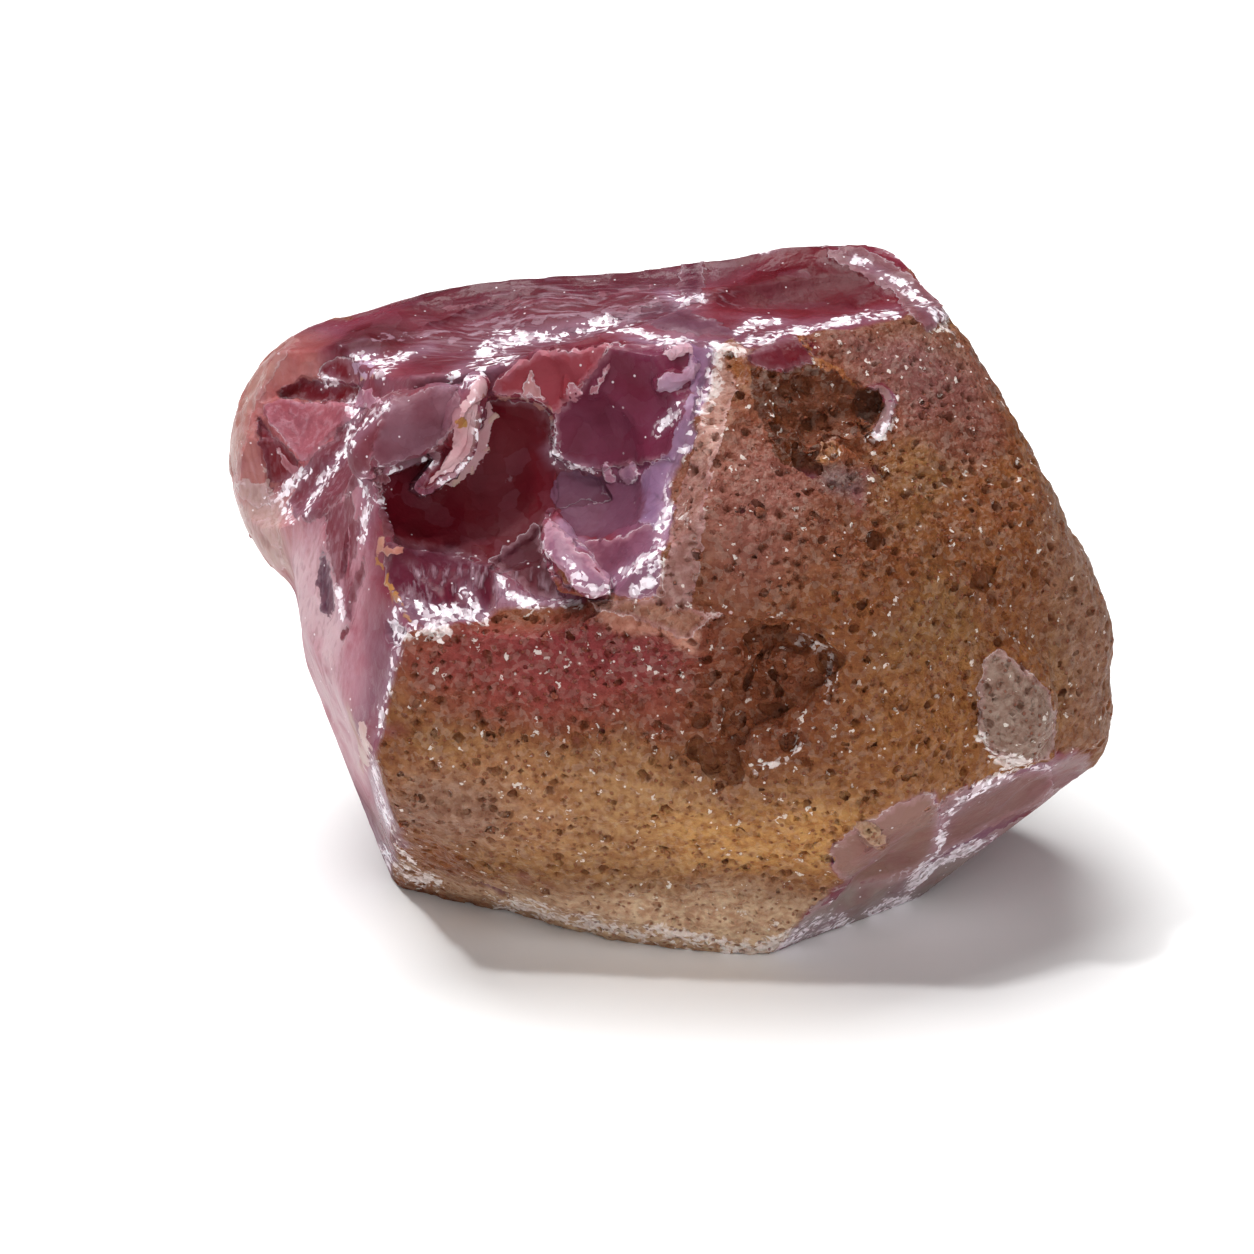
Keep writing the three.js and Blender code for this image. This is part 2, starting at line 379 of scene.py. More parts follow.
def main_form():
    nodule = ellipsoid("rough_carnelian_finish", MIDDLE, NODULE_RADII, detail=6)
    strike_off(nodule, {n: (b, l, reach - WORN_AWAY) for n, (b, l, reach) in WORN_SIDES.items()})
    remesh(nodule, WORN_VOXEL)
    apply_modifier(nodule, "SMOOTH", factor=0.5, iterations=WORN_SMOOTHING)
    relief(nodule, "long waves", "CLOUDS", 11, 0.9)
    relief(nodule, "short waves", "CLOUDS", 4.6, 0.5)
    work_on(nodule)
    bpy.ops.object.duplicate()
    skin = bpy.context.object
    skin.name = "worn_skin"
    strike_off(nodule, SIDE_BREAKS)
    lobes = [ellipsoid(name, *place) for name, place in LOBES.items()]
    lump = joined([nodule] + lobes)
    remesh(lump, FORM_VOXEL)
    strike_off(lump, TOP_BREAKS)
    remesh(lump, FORM_VOXEL)
    smooth = [ellipsoid(name, *place) for name, place in SCARS.items() if name not in RAW_SCARS]
    rough = [ellipsoid(name, *SCARS[name]) for name in RAW_SCARS]
    cut_away(lump, [roughened(smooth, 5.5, 1.8)], voxel=0)
    cut_away(lump, [roughened(rough, 1.6, 2.6)], voxel=0)
    strike_off(lump, {"resting face": (0, -90, MIDDLE[2])})
    return lump, skin


TONGUE = (
    ((-12.6, -8.0, 39.0), (0.9, 1.6, 0.8)),
    ((-13.2, -9.2, 37.6), (1.15, 1.4, 0.9)),
    ((-13.6, -10.2, 35.8), (1.2, 1.1, 1.0)),
    ((-14.6, -10.9, 34.2), (1.05, 0.9, 0.8)),
    ((-16.0, -11.4, 33.2), (0.65, 0.7, 0.5)),
)
DOME = (
    ((-19.4, -9.3, 34.8), (1.6, 2.0, 1.8)),
    ((-17.2, -8.8, 36.2), (2.6, 2.2, 2.4)),
    ((-15.0, -8.2, 37.6), (1.6, 1.6, 1.6)),
)
LEAF = (
    ((-7.7, -12.4, 31.6), (0.5, 0.6, 0.5)),
    ((-7.0, -14.4, 30.8), (1.0, 1.0, 0.8)),
    ((-6.4, -16.8, 29.8), (1.5, 1.2, 0.9)),
    ((-5.4, -18.4, 29.0), (1.9, 1.0, 0.8)),
)
CRACK = (
    ((6.9, -19.0, 25.6), (0.35, 1.2, 0.5)),
    ((5.8, -18.8, 23.8), (0.25, 1.2, 0.6)),
    ((5.0, -18.6, 22.0), (0.25, 1.2, 0.5)),
)


def raise_flakes(lump):
    """Stands the thin flakes on the lump."""
    flakes = roughened(chain("tongue", TONGUE) + chain("dome", DOME) + chain("leaf", LEAF), 1.2, 0.4)
    apply_modifier(lump, "BOOLEAN", operation="UNION", solver="MANIFOLD", object=flakes)
    bpy.data.objects.remove(flakes)


def chip(lump, skin):
    """Strikes the named and the chance scars and cavities out of the lump."""
    draw = random.Random(SEED)
    surface = surface_of(lump)
    tools = [struck(surface, name, *row) for name, row in STRUCK.items()]
    for place, radius, depth in CAVITIES.values():
        tools.append(struck(surface, "cavity", place, (radius, radius * 1.2, depth), depth * 0.9))
    tools += chain("crack", CRACK)
    forward, sideways, upright = (0, -1, 0.3), (1, 0.1, 0.1), (0.5, -0.4, 1)
    worn = surface_of(skin)
    for row in (
        ((-9, -12, 34), (10, 6, 6), 14, (6, 12), (0.3, 0.6), 1.4),
        ((-13, -17, 28), (5, 1.5, 1), 14, (0.7, 1.2), (0.3, 0.6), 3.0, forward),
        ((-21, -8, 22), (4, 6, 12), 16, (4, 8), (0.1, 0.3), 2.4, upright),
        ((-26, 3, 31), (5, 6, 6), 10, (5, 9), (0.2, 0.5), 1.4),
        ((-29, 3, 28), (4, 8, 8), 44, (0.7, 1.8), (0.12, 0.3), 1.4),
        ((-4, 4, 41), (22, 12, 1), 30, (4, 9), (0.1, 0.3), 3.0, sideways),
        ((22, -12, 9), (8, 6, 4), 18, (3, 7), (0.2, 0.5), 1.4),
        ((-16, 18, 26), (10, 5, 10), 26, (4, 9), (0.2, 0.6), 1.6),
        ((4, 16, 10), (20, 6, 8), 16, (4, 8), (0.2, 0.5), 1.4),
        ((5.5, -19, 21), (3.4, 2, 5.4), 26, (0.3, 0.7), (0.3, 0.6), 1.3),
        ((10.8, -12.6, 38), (3.4, 2.6, 2.4), 18, (0.25, 0.6), (0.3, 0.6), 1.3),
        ((2, -20, 18), (22, 4, 17), 240, (0.16, 0.36), (0.15, 0.4), 1.4, None, worn),
        ((14, -14, 26), (14, 6, 14), 120, (0.16, 0.36), (0.15, 0.4), 1.4, None, worn),
        ((4, 12, 22), (32, 16, 18), 200, (0.25, 0.7), (0.3, 0.7), 1.4, None, worn),
    ):
        tools += scattered(surface, draw, *row)
    cut_away(lump, tools, voxel=0.2)


def places_of(obj):
    """The vertices' places, in millimetres, one row each."""
    rows = np.empty(len(obj.data.vertices) * 3)
    obj.data.vertices.foreach_get("co", rows)
    return rows.reshape(-1, 3) / MM


def normals_of(obj):
    rows = np.empty(len(obj.data.vertices) * 3)
    obj.data.vertices.foreach_get("normal", rows)
    return rows.reshape(-1, 3)


def ease(low, high, values):
    """0 at low and 1 at high, with a soft start and end."""
    t = np.clip((values - low) / (high - low), 0, 1)
    return t * t * (3 - 2 * t)


def weigh(obj, name, weights, steps=24):
    """Keeps a weight from 0 to 1 for each vertex in a vertex group."""
    group = obj.vertex_groups.new(name=name)
    levels = np.rint(np.clip(weights, 0, 1) * steps).astype(int)
    for level in range(1, steps + 1):
        chosen = np.flatnonzero(levels == level)
        if len(chosen):
            group.add(chosen.tolist(), level / steps, "REPLACE")


def weights_of(obj, name):
    index = obj.vertex_groups[name].index
    weights = np.zeros(len(obj.data.vertices))
    for vertex in obj.data.vertices:
        for item in vertex.groups:
            if item.group == index:
                weights[vertex.index] = item.weight
    return weights


def inside(places, middle, radii):
    """How far out a place is in an ellipsoid: 0 in its middle and 1 on its surface."""
    return np.sqrt((((places - middle) / radii) ** 2).sum(axis=1))


def ridge_height(obj, rounds):
    """How proud each vertex stands of the surface smoothed by so many rounds, in mm."""
    work_on(obj)
    bpy.ops.object.duplicate()
    smooth = bpy.context.object
    apply_modifier(smooth, "SMOOTH", factor=0.5, iterations=rounds)
    height = ((places_of(obj) - places_of(smooth)) * normals_of(obj)).sum(axis=1)
    bpy.data.objects.remove(smooth)
    return height


# Broken places that are raw and sandy inside, as the worn skin is.
RAW = {
    "recess": ((5.5, -19.5, 21.4), (5.2, 4, 7.4)),
    "nook": ((10.8, -12.4, 38.2), (5.4, 4.6, 3.6)),
    "front right": ((14, -19, 26), (12, 8, 8)),
    "back": ((-2, 22, 17), (31, 11, 16)),
}


# Worn skin that broke away thinly enough to show no sand.
BARE = {
    "lobe": ((-28, 2, 32), (9, 13, 12)),
    "top back rim": ((-6, 13, 41.5), (30, 5.5, 4.6)),
}
# Fibres in the chalcedony: where they show, their turn, their stretch and how plain they are.
FIBRES = {
    "trough fibres": ((-8, 3, 40.4), (15, 9, 3), (0, 4, -4), (6, 1, 1), 0.9),
    "strip fibres": ((-25, -4, 26), (8, 14, 15), (12, -12, 0), (1, 1, 6), 0.4),
    "fan fibres": ((-12, -16.6, 28.4), (7, 3.4, 2.4), (35, 0, 0), (1, 4, 1), 1.0),
}
# ---------------------------------------------------------------- sheets and frost
# The front is drawn on a sheet that faces an eye in front, which looks down on the lump a
# little from well back: across to the right of the middle, and up, in mm. Only what the
# eye sees takes a drawing.
EYE = (-2.7, -226.1, 110.0)
EYE_LOOKS_DOWN = 22
EYE_REACH = 243.8
# Thin sheets of stone that broke at their own depth: the coat, 0 lowest; the colour; what
# it is made of, where that differs from what is round it; how far it stands out in mm;
# how chipped its rim is, its white lip partly a painted highlight; and its outline.
SHEETS = {
    "pocket": (0, "#5A0815", "glass", -0.7, 0.25, (
        (-20.4, 11.0), (-16.5, 12.1), (-15.0, 13.8), (-13.0, 15.9), (-11.6, 16.0), (-9.5, 15.8),
        (-8.0, 15.1), (-7.9, 13.1), (-8.2, 12.1), (-6.4, 11.0), (-4.6, 10.4), (-3.9, 8.9),
        (-6.7, 8.6), (-8.5, 7.5), (-8.8, 4.7), (-11.6, 4.0), (-14.4, 5.1), (-18.6, 5.8),
        (-19.7, 6.5), (-20.1, 8.9))),
    "plum face": (0, "#652339", "glass", 0.3, 0.5, (
        (-7.8, 14.9), (-6.4, 16.3), (-4.6, 18.7), (-3.8, 19.8), (1.7, 19.8), (3.5, 19.4),
        (2.4, 17.0), (1.7, 13.8), (0.7, 11.7), (-1.8, 11.4), (-4.6, 10.9), (-6.4, 11.1),
        (-7.4, 11.7), (-7.9, 12.8))),
    "fan": (0, "#541A2B", "glass", 0.0, 0.3, (
        (-19.7, 6.1), (-18.6, 5.8), (-16.5, 5.5), (-14.4, 5.1), (-12.3, 4.4), (-11.5, 3.3),
        (-11.6, 1.9), (-12.3, 0.9), (-13.0, 0.5), (-15.8, 0.4), (-17.6, 0.2), (-18.6, 1.2),
        (-19.7, 3.3))),
    "right fan": (0, "#724357", "glass", 0.1, 0.5, (
        (-6.5, 6.1), (-3.2, 6.2), (-1.1, 7.5), (-0.3, 6.8), (-0.3, 4.7), (-0.1, 2.3),
        (-1.8, 1.9), (-3.8, 2.3), (-4.6, 3.7), (-5.2, 5.1))),
    "dome lip": (1, "#6F4450", "glass", 0.4, 0.2, (
        (-20.6, 11.8), (-20.0, 14.2), (-19.0, 15.9), (-16.5, 16.7), (-14.3, 16.9), (-14.5, 15.6),
        (-15.0, 14.2), (-15.5, 13.1), (-16.9, 12.3), (-18.6, 11.6), (-20.1, 11.1))),
    "under plum": (1, "#64384C", "glass", -0.1, 0.0, (
        (-7.4, 11.0), (-4.6, 10.6), (-1.8, 10.3), (-0.1, 8.9), (-1.1, 7.8), (-4.6, 6.1),
        (-6.4, 6.5), (-7.4, 7.9), (-8.2, 9.3))),
    "wall shoulder": (0, "", "rind", 0.0, 0.0, (
        (1.3, 12.1), (3.8, 13.8), (5.0, 15.6), (5.6, 11.0), (4.6, 4.7), (1.7, 1.9), (0.2, 1.9),
        (0.2, 6.0), (1.7, 7.4), (0.3, 8.9), (0.5, 10.6))),
    "under fan": (0, "", "rind", 0.0, 0.0, (
        (-17.6, -0.3), (-13.0, 0.4), (-11.6, 1.2), (-7.4, 1.5), (-4.6, 1.8), (-1.8, 0.9),
        (1.7, -0.9), (-4.6, -1.6), (-11.6, -2.0), (-17.2, -2.0))),
    "lobe rim": (0, "#9C6E66", "glass", 0.1, 0.2, (
        (-27.0, 21.0), (-28.8, 19.8), (-30.4, 16.6), (-31.6, 12.4), (-31.2, 10.0), (-29.8, 11.0),
        (-29.5, 13.1), (-28.8, 15.2), (-27.7, 17.3), (-26.3, 19.3), (-25.6, 20.1))),
    "wall fringe": (1, "#B48E84", "rind", 0.1, 0.3, (
        (4.6, 20.2), (5.8, 19.3), (5.3, 17.3), (4.5, 15.2), (3.9, 13.1), (3.3, 11.4), (1.8, 11.6),
        (2.1, 12.8), (2.5, 14.9), (3.2, 16.9), (3.5, 19.3))),
    "low wall fringe": (1, "#99716C", "rind", 0.1, 0.2, (
        (3.3, 11.4), (2.9, 8.9), (2.6, 6.1), (2.3, 3.4), (1.6, 0.6), (0.0, 0.6), (-0.8, 1.6),
        (-0.3, 3.7), (0.3, 6.1), (0.8, 8.9), (1.6, 11.0), (1.8, 11.6))),
    "wall haze": (1, "#7C5A78", "glass", 0.1, 0.2, (
        (1.7, 19.8), (3.5, 19.4), (2.4, 16.3), (1.6, 13.1), (0.4, 11.0), (-0.1, 8.9),
        (-0.4, 6.8), (-1.8, 7.2), (-2.2, 9.3), (-1.5, 11.0), (0.3, 12.4), (1.0, 14.5),
        (1.7, 16.6))),
    "roof": (1, "#89323B", "glass", 0.35, 0.5, (
        (-12.5, 16.2), (-11.6, 17.4), (-10.6, 18.3), (-8.8, 19.3), (-6.0, 19.4), (-3.8, 19.8),
        (-4.6, 18.6), (-5.7, 17.0), (-6.7, 15.9), (-7.7, 14.9), (-8.8, 15.6), (-10.2, 16.1))),
    "dark scallop": (1, "#4C101B", "glass", -0.5, 0.5, (
        (-12.3, 4.7), (-8.8, 7.5), (-8.5, 5.1), (-7.4, 3.3), (-6.4, 2.6), (-7.4, 2.1),
        (-8.8, 2.0), (-9.9, 2.6), (-10.6, 3.4), (-11.4, 3.7))),
    "roof flake": (2, "#A16C69", "glass", 0.3, 0.6, (
        (-10.3, 16.0), (-9.9, 16.7), (-9.4, 18.0), (-9.0, 17.0), (-8.3, 15.8))),
    "roof flake middle": (2, "#9E6971", "glass", 0.3, 0.6, (
        (-7.2, 16.2), (-6.7, 17.7), (-6.3, 16.6), (-5.6, 16.4), (-6.4, 15.8))),
    "roof flake right": (2, "#8A4B54", "glass", 0.2, 0.6, (
        (-5.4, 16.2), (-5.0, 17.0), (-3.8, 18.7), (-4.1, 17.5), (-4.8, 16.2))),
    "tongue": (2, "#C49CA0", "glass", 0.0, 0.05, (
        (-13.2, 17.6), (-12.3, 17.4), (-12.5, 16.4), (-11.9, 14.8), (-12.2, 13.7), (-12.5, 12.0),
        (-13.6, 10.7), (-14.8, 10.0), (-16.5, 9.6), (-16.8, 9.9), (-15.8, 11.1), (-15.0, 12.3),
        (-14.8, 13.8), (-14.4, 15.1), (-13.8, 16.4))),
    "leaf": (2, "#805367", "glass", 0.4, 0.8, (
        (-8.2, 7.6), (-7.4, 6.8), (-6.5, 6.1), (-6.4, 5.4), (-5.3, 5.1), (-4.8, 4.0),
        (-4.0, 3.3), (-4.0, 2.4), (-5.3, 2.2), (-6.4, 2.6), (-7.1, 3.7), (-7.8, 4.4),
        (-8.6, 5.3), (-8.5, 6.5))),
    "tab": (2, "#986C81", "glass", 0.3, 0.5, (
        (-4.4, 11.4), (-3.7, 11.3), (-3.5, 10.1), (-4.3, 10.2))),
    "wide tab": (2, "#835971", "glass", 0.3, 0.5, (
        (-3.2, 10.9), (-2.3, 11.6), (-1.7, 10.7), (-2.2, 10.1), (-3.2, 10.1))),
    "globule": (2, "#987D91", "glass", 0.4, 0.3, (
        (-0.6, 17.4), (0.3, 18.0), (1.0, 17.7), (1.6, 18.2), (1.8, 18.9), (2.3, 18.4),
        (1.8, 17.2), (0.7, 16.6), (-0.4, 16.5))),
    "cream globule": (2, "#BC9CA5", "glass", 0.3, 0.3, (
        (-0.2, 19.4), (1.4, 20.0), (1.8, 19.3), (0.3, 18.7))),
    "lozenge": (2, "#863D44", "glass", 0.2, 0.6, (
        (-20.5, 10.6), (-19.8, 10.9), (-19.1, 10.5), (-19.6, 9.9), (-20.4, 9.9))),
    "low lozenge": (2, "#712731", "glass", 0.1, 0.5, (
        (-20.4, 9.5), (-19.3, 9.9), (-19.4, 9.4), (-20.1, 9.0))),
    "gold flake": (2, "#A8795A", "glass", 0.2, 0.4, (
        (-20.2, 6.7), (-19.7, 6.2), (-19.6, 5.6), (-18.4, 5.6), (-18.5, 5.2), (-20.2, 5.0))),
    "plum pit": (2, "#592034", "glass", -0.4, 0.3, (
        (-19.7, 0.2), (-18.9, 0.4), (-18.4, -0.2), (-18.7, -1.3), (-19.4, -1.3))),
    "lobe upper red": (0, "#651821", "glass", -0.2, 0.5, (
        (-22.8, 18.9), (-22.1, 18.8), (-21.4, 17.7), (-21.3, 16.8), (-21.8, 17.0), (-23.2, 17.2),
        (-24.4, 17.6), (-24.2, 18.2), (-23.6, 18.7))),
    # cup pink: a pink facet, its pale tone partly a painted sheen.
    "cup pink": (0, "#93505A", "glass", 0.4, 0.5, (
        (-28.3, 15.6), (-27.1, 16.1), (-25.3, 15.8), (-22.5, 15.8), (-21.8, 15.3), (-21.8, 14.6),
        (-22.8, 13.7), (-24.1, 12.5), (-25.0, 11.5), (-25.6, 11.7), (-26.7, 13.1), (-27.7, 14.2))),
    "cup red": (1, "#620912", "glass", -0.5, 0.2, (
        (-27.2, 16.3), (-26.3, 17.0), (-25.3, 17.4), (-23.9, 17.3), (-22.5, 17.1), (-21.4, 16.8),
        (-21.1, 15.9), (-21.6, 15.3), (-22.1, 15.8), (-23.9, 15.7), (-25.3, 15.8), (-26.7, 16.0))),
    "crevice": (1, "#69161F", "glass", -0.5, 0.3, (
        (-28.5, 14.7), (-27.4, 13.5), (-26.4, 12.5), (-25.6, 11.6), (-25.7, 11.0), (-26.3, 10.3),
        (-26.9, 10.2), (-27.7, 9.4), (-28.0, 11.0), (-28.3, 12.4), (-28.7, 13.5))),
    "crevice flake": (2, "#944C53", "glass", 0.2, 0.6, (
        (-27.2, 12.5), (-26.4, 11.6), (-25.5, 11.1), (-25.9, 10.3), (-26.6, 11.0))),
    "froth flake": (2, "#945F74", "glass", 0.2, 0.6, (
        (-21.3, 16.7), (-20.6, 16.6), (-19.9, 15.7), (-20.8, 15.4), (-21.7, 15.4))),
    "lobe cream": (1, "#B0928C", "glass", 0.1, 0.3, (
        (-29.5, 7.5), (-27.7, 7.5), (-27.1, 6.1), (-26.7, 4.7), (-26.6, 3.3), (-28.3, 4.6),
        (-29.5, 6.1))),
    "lobe cream upper": (1, "#A88984", "glass", 0.1, 0.3, (
        (-30.2, 10.3), (-28.0, 10.0), (-27.6, 8.9), (-28.3, 8.2), (-29.8, 8.9))),
    "strip band": (1, "#69303A", "glass", 0.2, 0.25, (
        (-25.6, 11.0), (-22.5, 14.2), (-19.4, 16.3), (-17.4, 16.8), (-19.0, 15.8), (-20.5, 11.6),
        (-20.6, 11.0), (-22.5, 8.9), (-24.2, 7.5), (-25.6, 7.4), (-26.5, 8.8))),
    "strip red": (0, "#71343F", "glass", -0.1, 0.2, (
        (-24.0, 8.2), (-22.0, 9.4), (-21.3, 6.8), (-21.8, 4.4), (-23.0, 2.8), (-23.6, 5.0))),
    "strip lens": (2, "#4C2B3A", "glass", -0.3, 0.3, (
        (-24.3, 4.7), (-24.0, 5.5), (-23.5, 4.7), (-23.3, 3.3), (-23.2, 1.2), (-23.5, 0.4),
        (-24.1, 0.9), (-24.4, 2.6))),
    "strip slit": (2, "#641521", "glass", -0.3, 0.4, (
        (-21.1, 5.4), (-21.0, 3.7), (-21.5, 2.6), (-21.9, 1.2), (-22.1, -0.2), (-22.8, -1.3),
        (-22.4, 1.2), (-21.9, 3.0), (-21.5, 4.0))),
    "strip cream": (2, "#B2968B", "glass", 0.1, 0.5, (
        (-21.7, -6.4), (-21.0, -6.8), (-20.6, -8.6), (-21.0, -10.4), (-21.5, -9.6), (-21.4, -7.8))),
    "pan lilac": (0, "#592E3F", "glass", 0.1, 0.2, (
        (-4.6, 21.9), (-1.1, 22.6), (0.4, 22.9), (1.7, 22.2), (3.8, 21.2), (5.2, 20.4),
        (2.4, 20.4), (-1.1, 21.1))),
    "divider facet": (1, "#52202E", "glass", 0.1, 0.25, (
        (1.0, 26.2), (2.8, 26.2), (2.6, 23.6), (2.5, 22.9), (1.7, 23.0), (0.9, 23.5))),
    "pan rim": (1, "#6B4044", "glass", 0.2, 0.3, (
        (11.0, 26.6), (14.0, 26.6), (17.4, 24.6), (20.2, 21.8), (18.4, 20.8), (16.6, 22.3),
        (16.0, 23.4), (14.2, 24.4), (11.6, 25.6))),
    "nook floor": (0, "#52250E", "rind", 0.0, 0.0, (
        (5.9, 18.4), (7.0, 18.0), (8.4, 17.9), (10.5, 18.5), (12.2, 17.9), (12.9, 17.0),
        (13.7, 16.6), (15.0, 16.4), (15.4, 15.6), (15.0, 14.5), (14.2, 13.4), (12.6, 13.4),
        (10.8, 12.4), (10.1, 11.4), (9.1, 11.0), (7.9, 11.7), (7.2, 13.1), (6.3, 15.2),
        (5.9, 17.0))),
    "nook glass": (1, "#5B151D", "glass", 0.1, 0.2, (
        (5.4, 18.9), (6.5, 19.3), (7.3, 19.8), (8.7, 20.5), (9.4, 20.3), (10.2, 19.4),
        (10.5, 18.6), (9.4, 18.3), (8.4, 17.9), (7.0, 18.0), (6.0, 18.3))),
    # Near black: painted shade inside the nook's cavity.
    "nook cavity": (1, "#200703", "rind", -0.5, 0.0, (
        (13.5, 16.5), (14.9, 16.5), (15.1, 15.2), (14.4, 14.2), (14.0, 13.3), (13.5, 14.2),
        (13.3, 15.6))),
    "nook rim": (2, "#7A5F58", "glass", 0.15, 0.2, (
        (14.2, 16.9), (15.2, 17.0), (15.9, 16.4), (16.1, 15.6), (15.6, 14.0), (14.9, 13.3),
        (14.5, 13.6), (15.0, 14.6), (15.5, 15.4), (15.1, 16.2))),
    "nook orange": (2, "#874F29", "rind", 0.2, 0.2, (
        (3.9, 19.3), (4.9, 19.4), (5.8, 18.8), (6.0, 17.7), (5.6, 17.0), (4.9, 16.6),
        (4.4, 17.7))),
    "nook gold": (2, "#96662F", "rind", 0.2, 0.4, (
        (10.9, 13.1), (12.2, 13.1), (11.9, 12.1), (11.2, 11.4), (10.0, 11.4), (10.9, 12.0))),
    "ledge": (1, "#8C5F4D", "rind", 0.2, 0.5, (
        (-5.6, 1.9), (-2.5, 1.9), (0.0, 2.0), (2.4, 1.1), (4.9, 1.1), (2.8, 0.4),
        (1.8, -0.9), (1.0, -0.8), (-1.1, 0.2), (-3.2, 0.9), (-4.6, 1.2))),
    "pale patch": (1, "#8A7266", "rind", 0.3, 0.5, (
        (22.4, -1.9), (23.4, -1.6), (24.8, -2.6), (26.9, -4.4), (27.5, -6.5), (27.0, -9.3),
        (24.8, -9.6), (22.7, -8.9), (21.8, -7.2), (21.9, -4.4))),
    "lower facet": (0, "#836056", "glass", 0.0, 0.4, (
        (11.5, -15.6), (12.9, -14.2), (15.0, -13.1), (16.8, -12.1), (18.9, -11.4), (19.2, -13.5),
        (18.9, -15.9), (17.5, -17.1), (15.0, -17.7), (12.9, -18.1), (11.6, -17.0))),
    "lower crush": (0, "#8C7A74", "glass", 0.0, 0.3, (
        (8.0, -22.8), (10.0, -19.8), (12.0, -18.2), (15.0, -17.9), (17.5, -17.3), (19.0, -16.2),
        (22.0, -14.8), (25.5, -13.0), (27.8, -11.0), (28.6, -12.4), (24.0, -15.8), (20.0, -18.6),
        (15.0, -21.6), (10.0, -23.6))),
    "side facet": (1, "#7A5550", "glass", 0.0, 0.4, (
        (19.2, -12.1), (21.3, -11.0), (23.4, -10.4), (26.9, -10.0), (27.3, -11.4), (26.2, -12.5),
        (23.4, -13.6), (20.6, -15.2), (18.9, -16.3))),
    "cream patch": (2, "#A38366", "rind", 0.1, 0.2, (
        (13.2, -13.6), (14.6, -13.7), (15.6, -15.2), (14.9, -15.6), (13.6, -14.6))),
}
# Lines along the sheets: the colour, what it is made of, half the width in mm and the
# points it runs through.
THREADS = {
    "gold thread": ("#9E6C3D", "glass", 0.17, (
        (-20.4, 4.7), (-19.8, 4.1), (-19.6, 3.3), (-19.1, 2.5), (-18.6, 1.7), (-18.2, 0.9),
        (-17.3, 0.2))),
    "tongue rim": ("#C9A99E", "glass", 0.22, (
        (-12.0, 14.8), (-12.3, 13.7), (-12.6, 12.1), (-13.7, 10.8), (-14.8, 10.1))),
    "gold spot": ("#AC7D4A", "glass", 0.25, ((-14.7, 14.9), (-14.3, 14.2))),
    "pocket vein": ("#72454D", "glass", 0.1, ((-12.2, 12.0), (-11.0, 10.4), (-10.6, 9.2))),
    "roof lip": ("#A56C64", "glass", 0.14, (
        (-12.6, 16.1), (-11.0, 16.1), (-9.4, 15.8), (-8.2, 15.2), (-7.9, 14.2))),
    "lobe seam": ("#B59691", "glass", 0.13, (
        (-28.3, 12.0), (-27.8, 10.3), (-27.5, 8.5), (-27.1, 6.8), (-26.7, 4.7), (-26.4, 3.4))),
    "ring": ("#A98CA1", "glass", 0.2, (
        (-21.6, 18.3), (-21.0, 18.8), (-20.5, 18.3), (-20.5, 17.8), (-20.9, 17.5), (-21.5, 17.7),
        (-21.6, 18.3))),
    "ring gold": ("#B2896D", "glass", 0.16, ((-21.6, 17.5), (-20.9, 17.3), (-20.4, 17.5))),
    "trough line": ("#835F6B", "glass", 0.13, (
        (-20.4, 20.2), (-17.2, 20.4), (-13.7, 21.2), (-10.2, 21.6), (-4.6, 21.9), (-0.4, 22.9))),
    "trough line low": ("#84636D", "glass", 0.12, (
        (-15.8, 19.7), (-11.6, 21.1), (-7.4, 21.5), (-1.8, 22.1))),
    "trough line back": ("#74434D", "glass", 0.12, (
        (-15.8, 22.3), (-11.6, 22.7), (-6.0, 22.9), (-1.1, 23.8))),
    "nook edge": ("#90562F", "rind", 0.16, (
        (9.4, 20.2), (10.2, 19.4), (10.8, 18.4), (12.2, 18.0), (12.9, 17.0), (13.8, 16.8))),
}
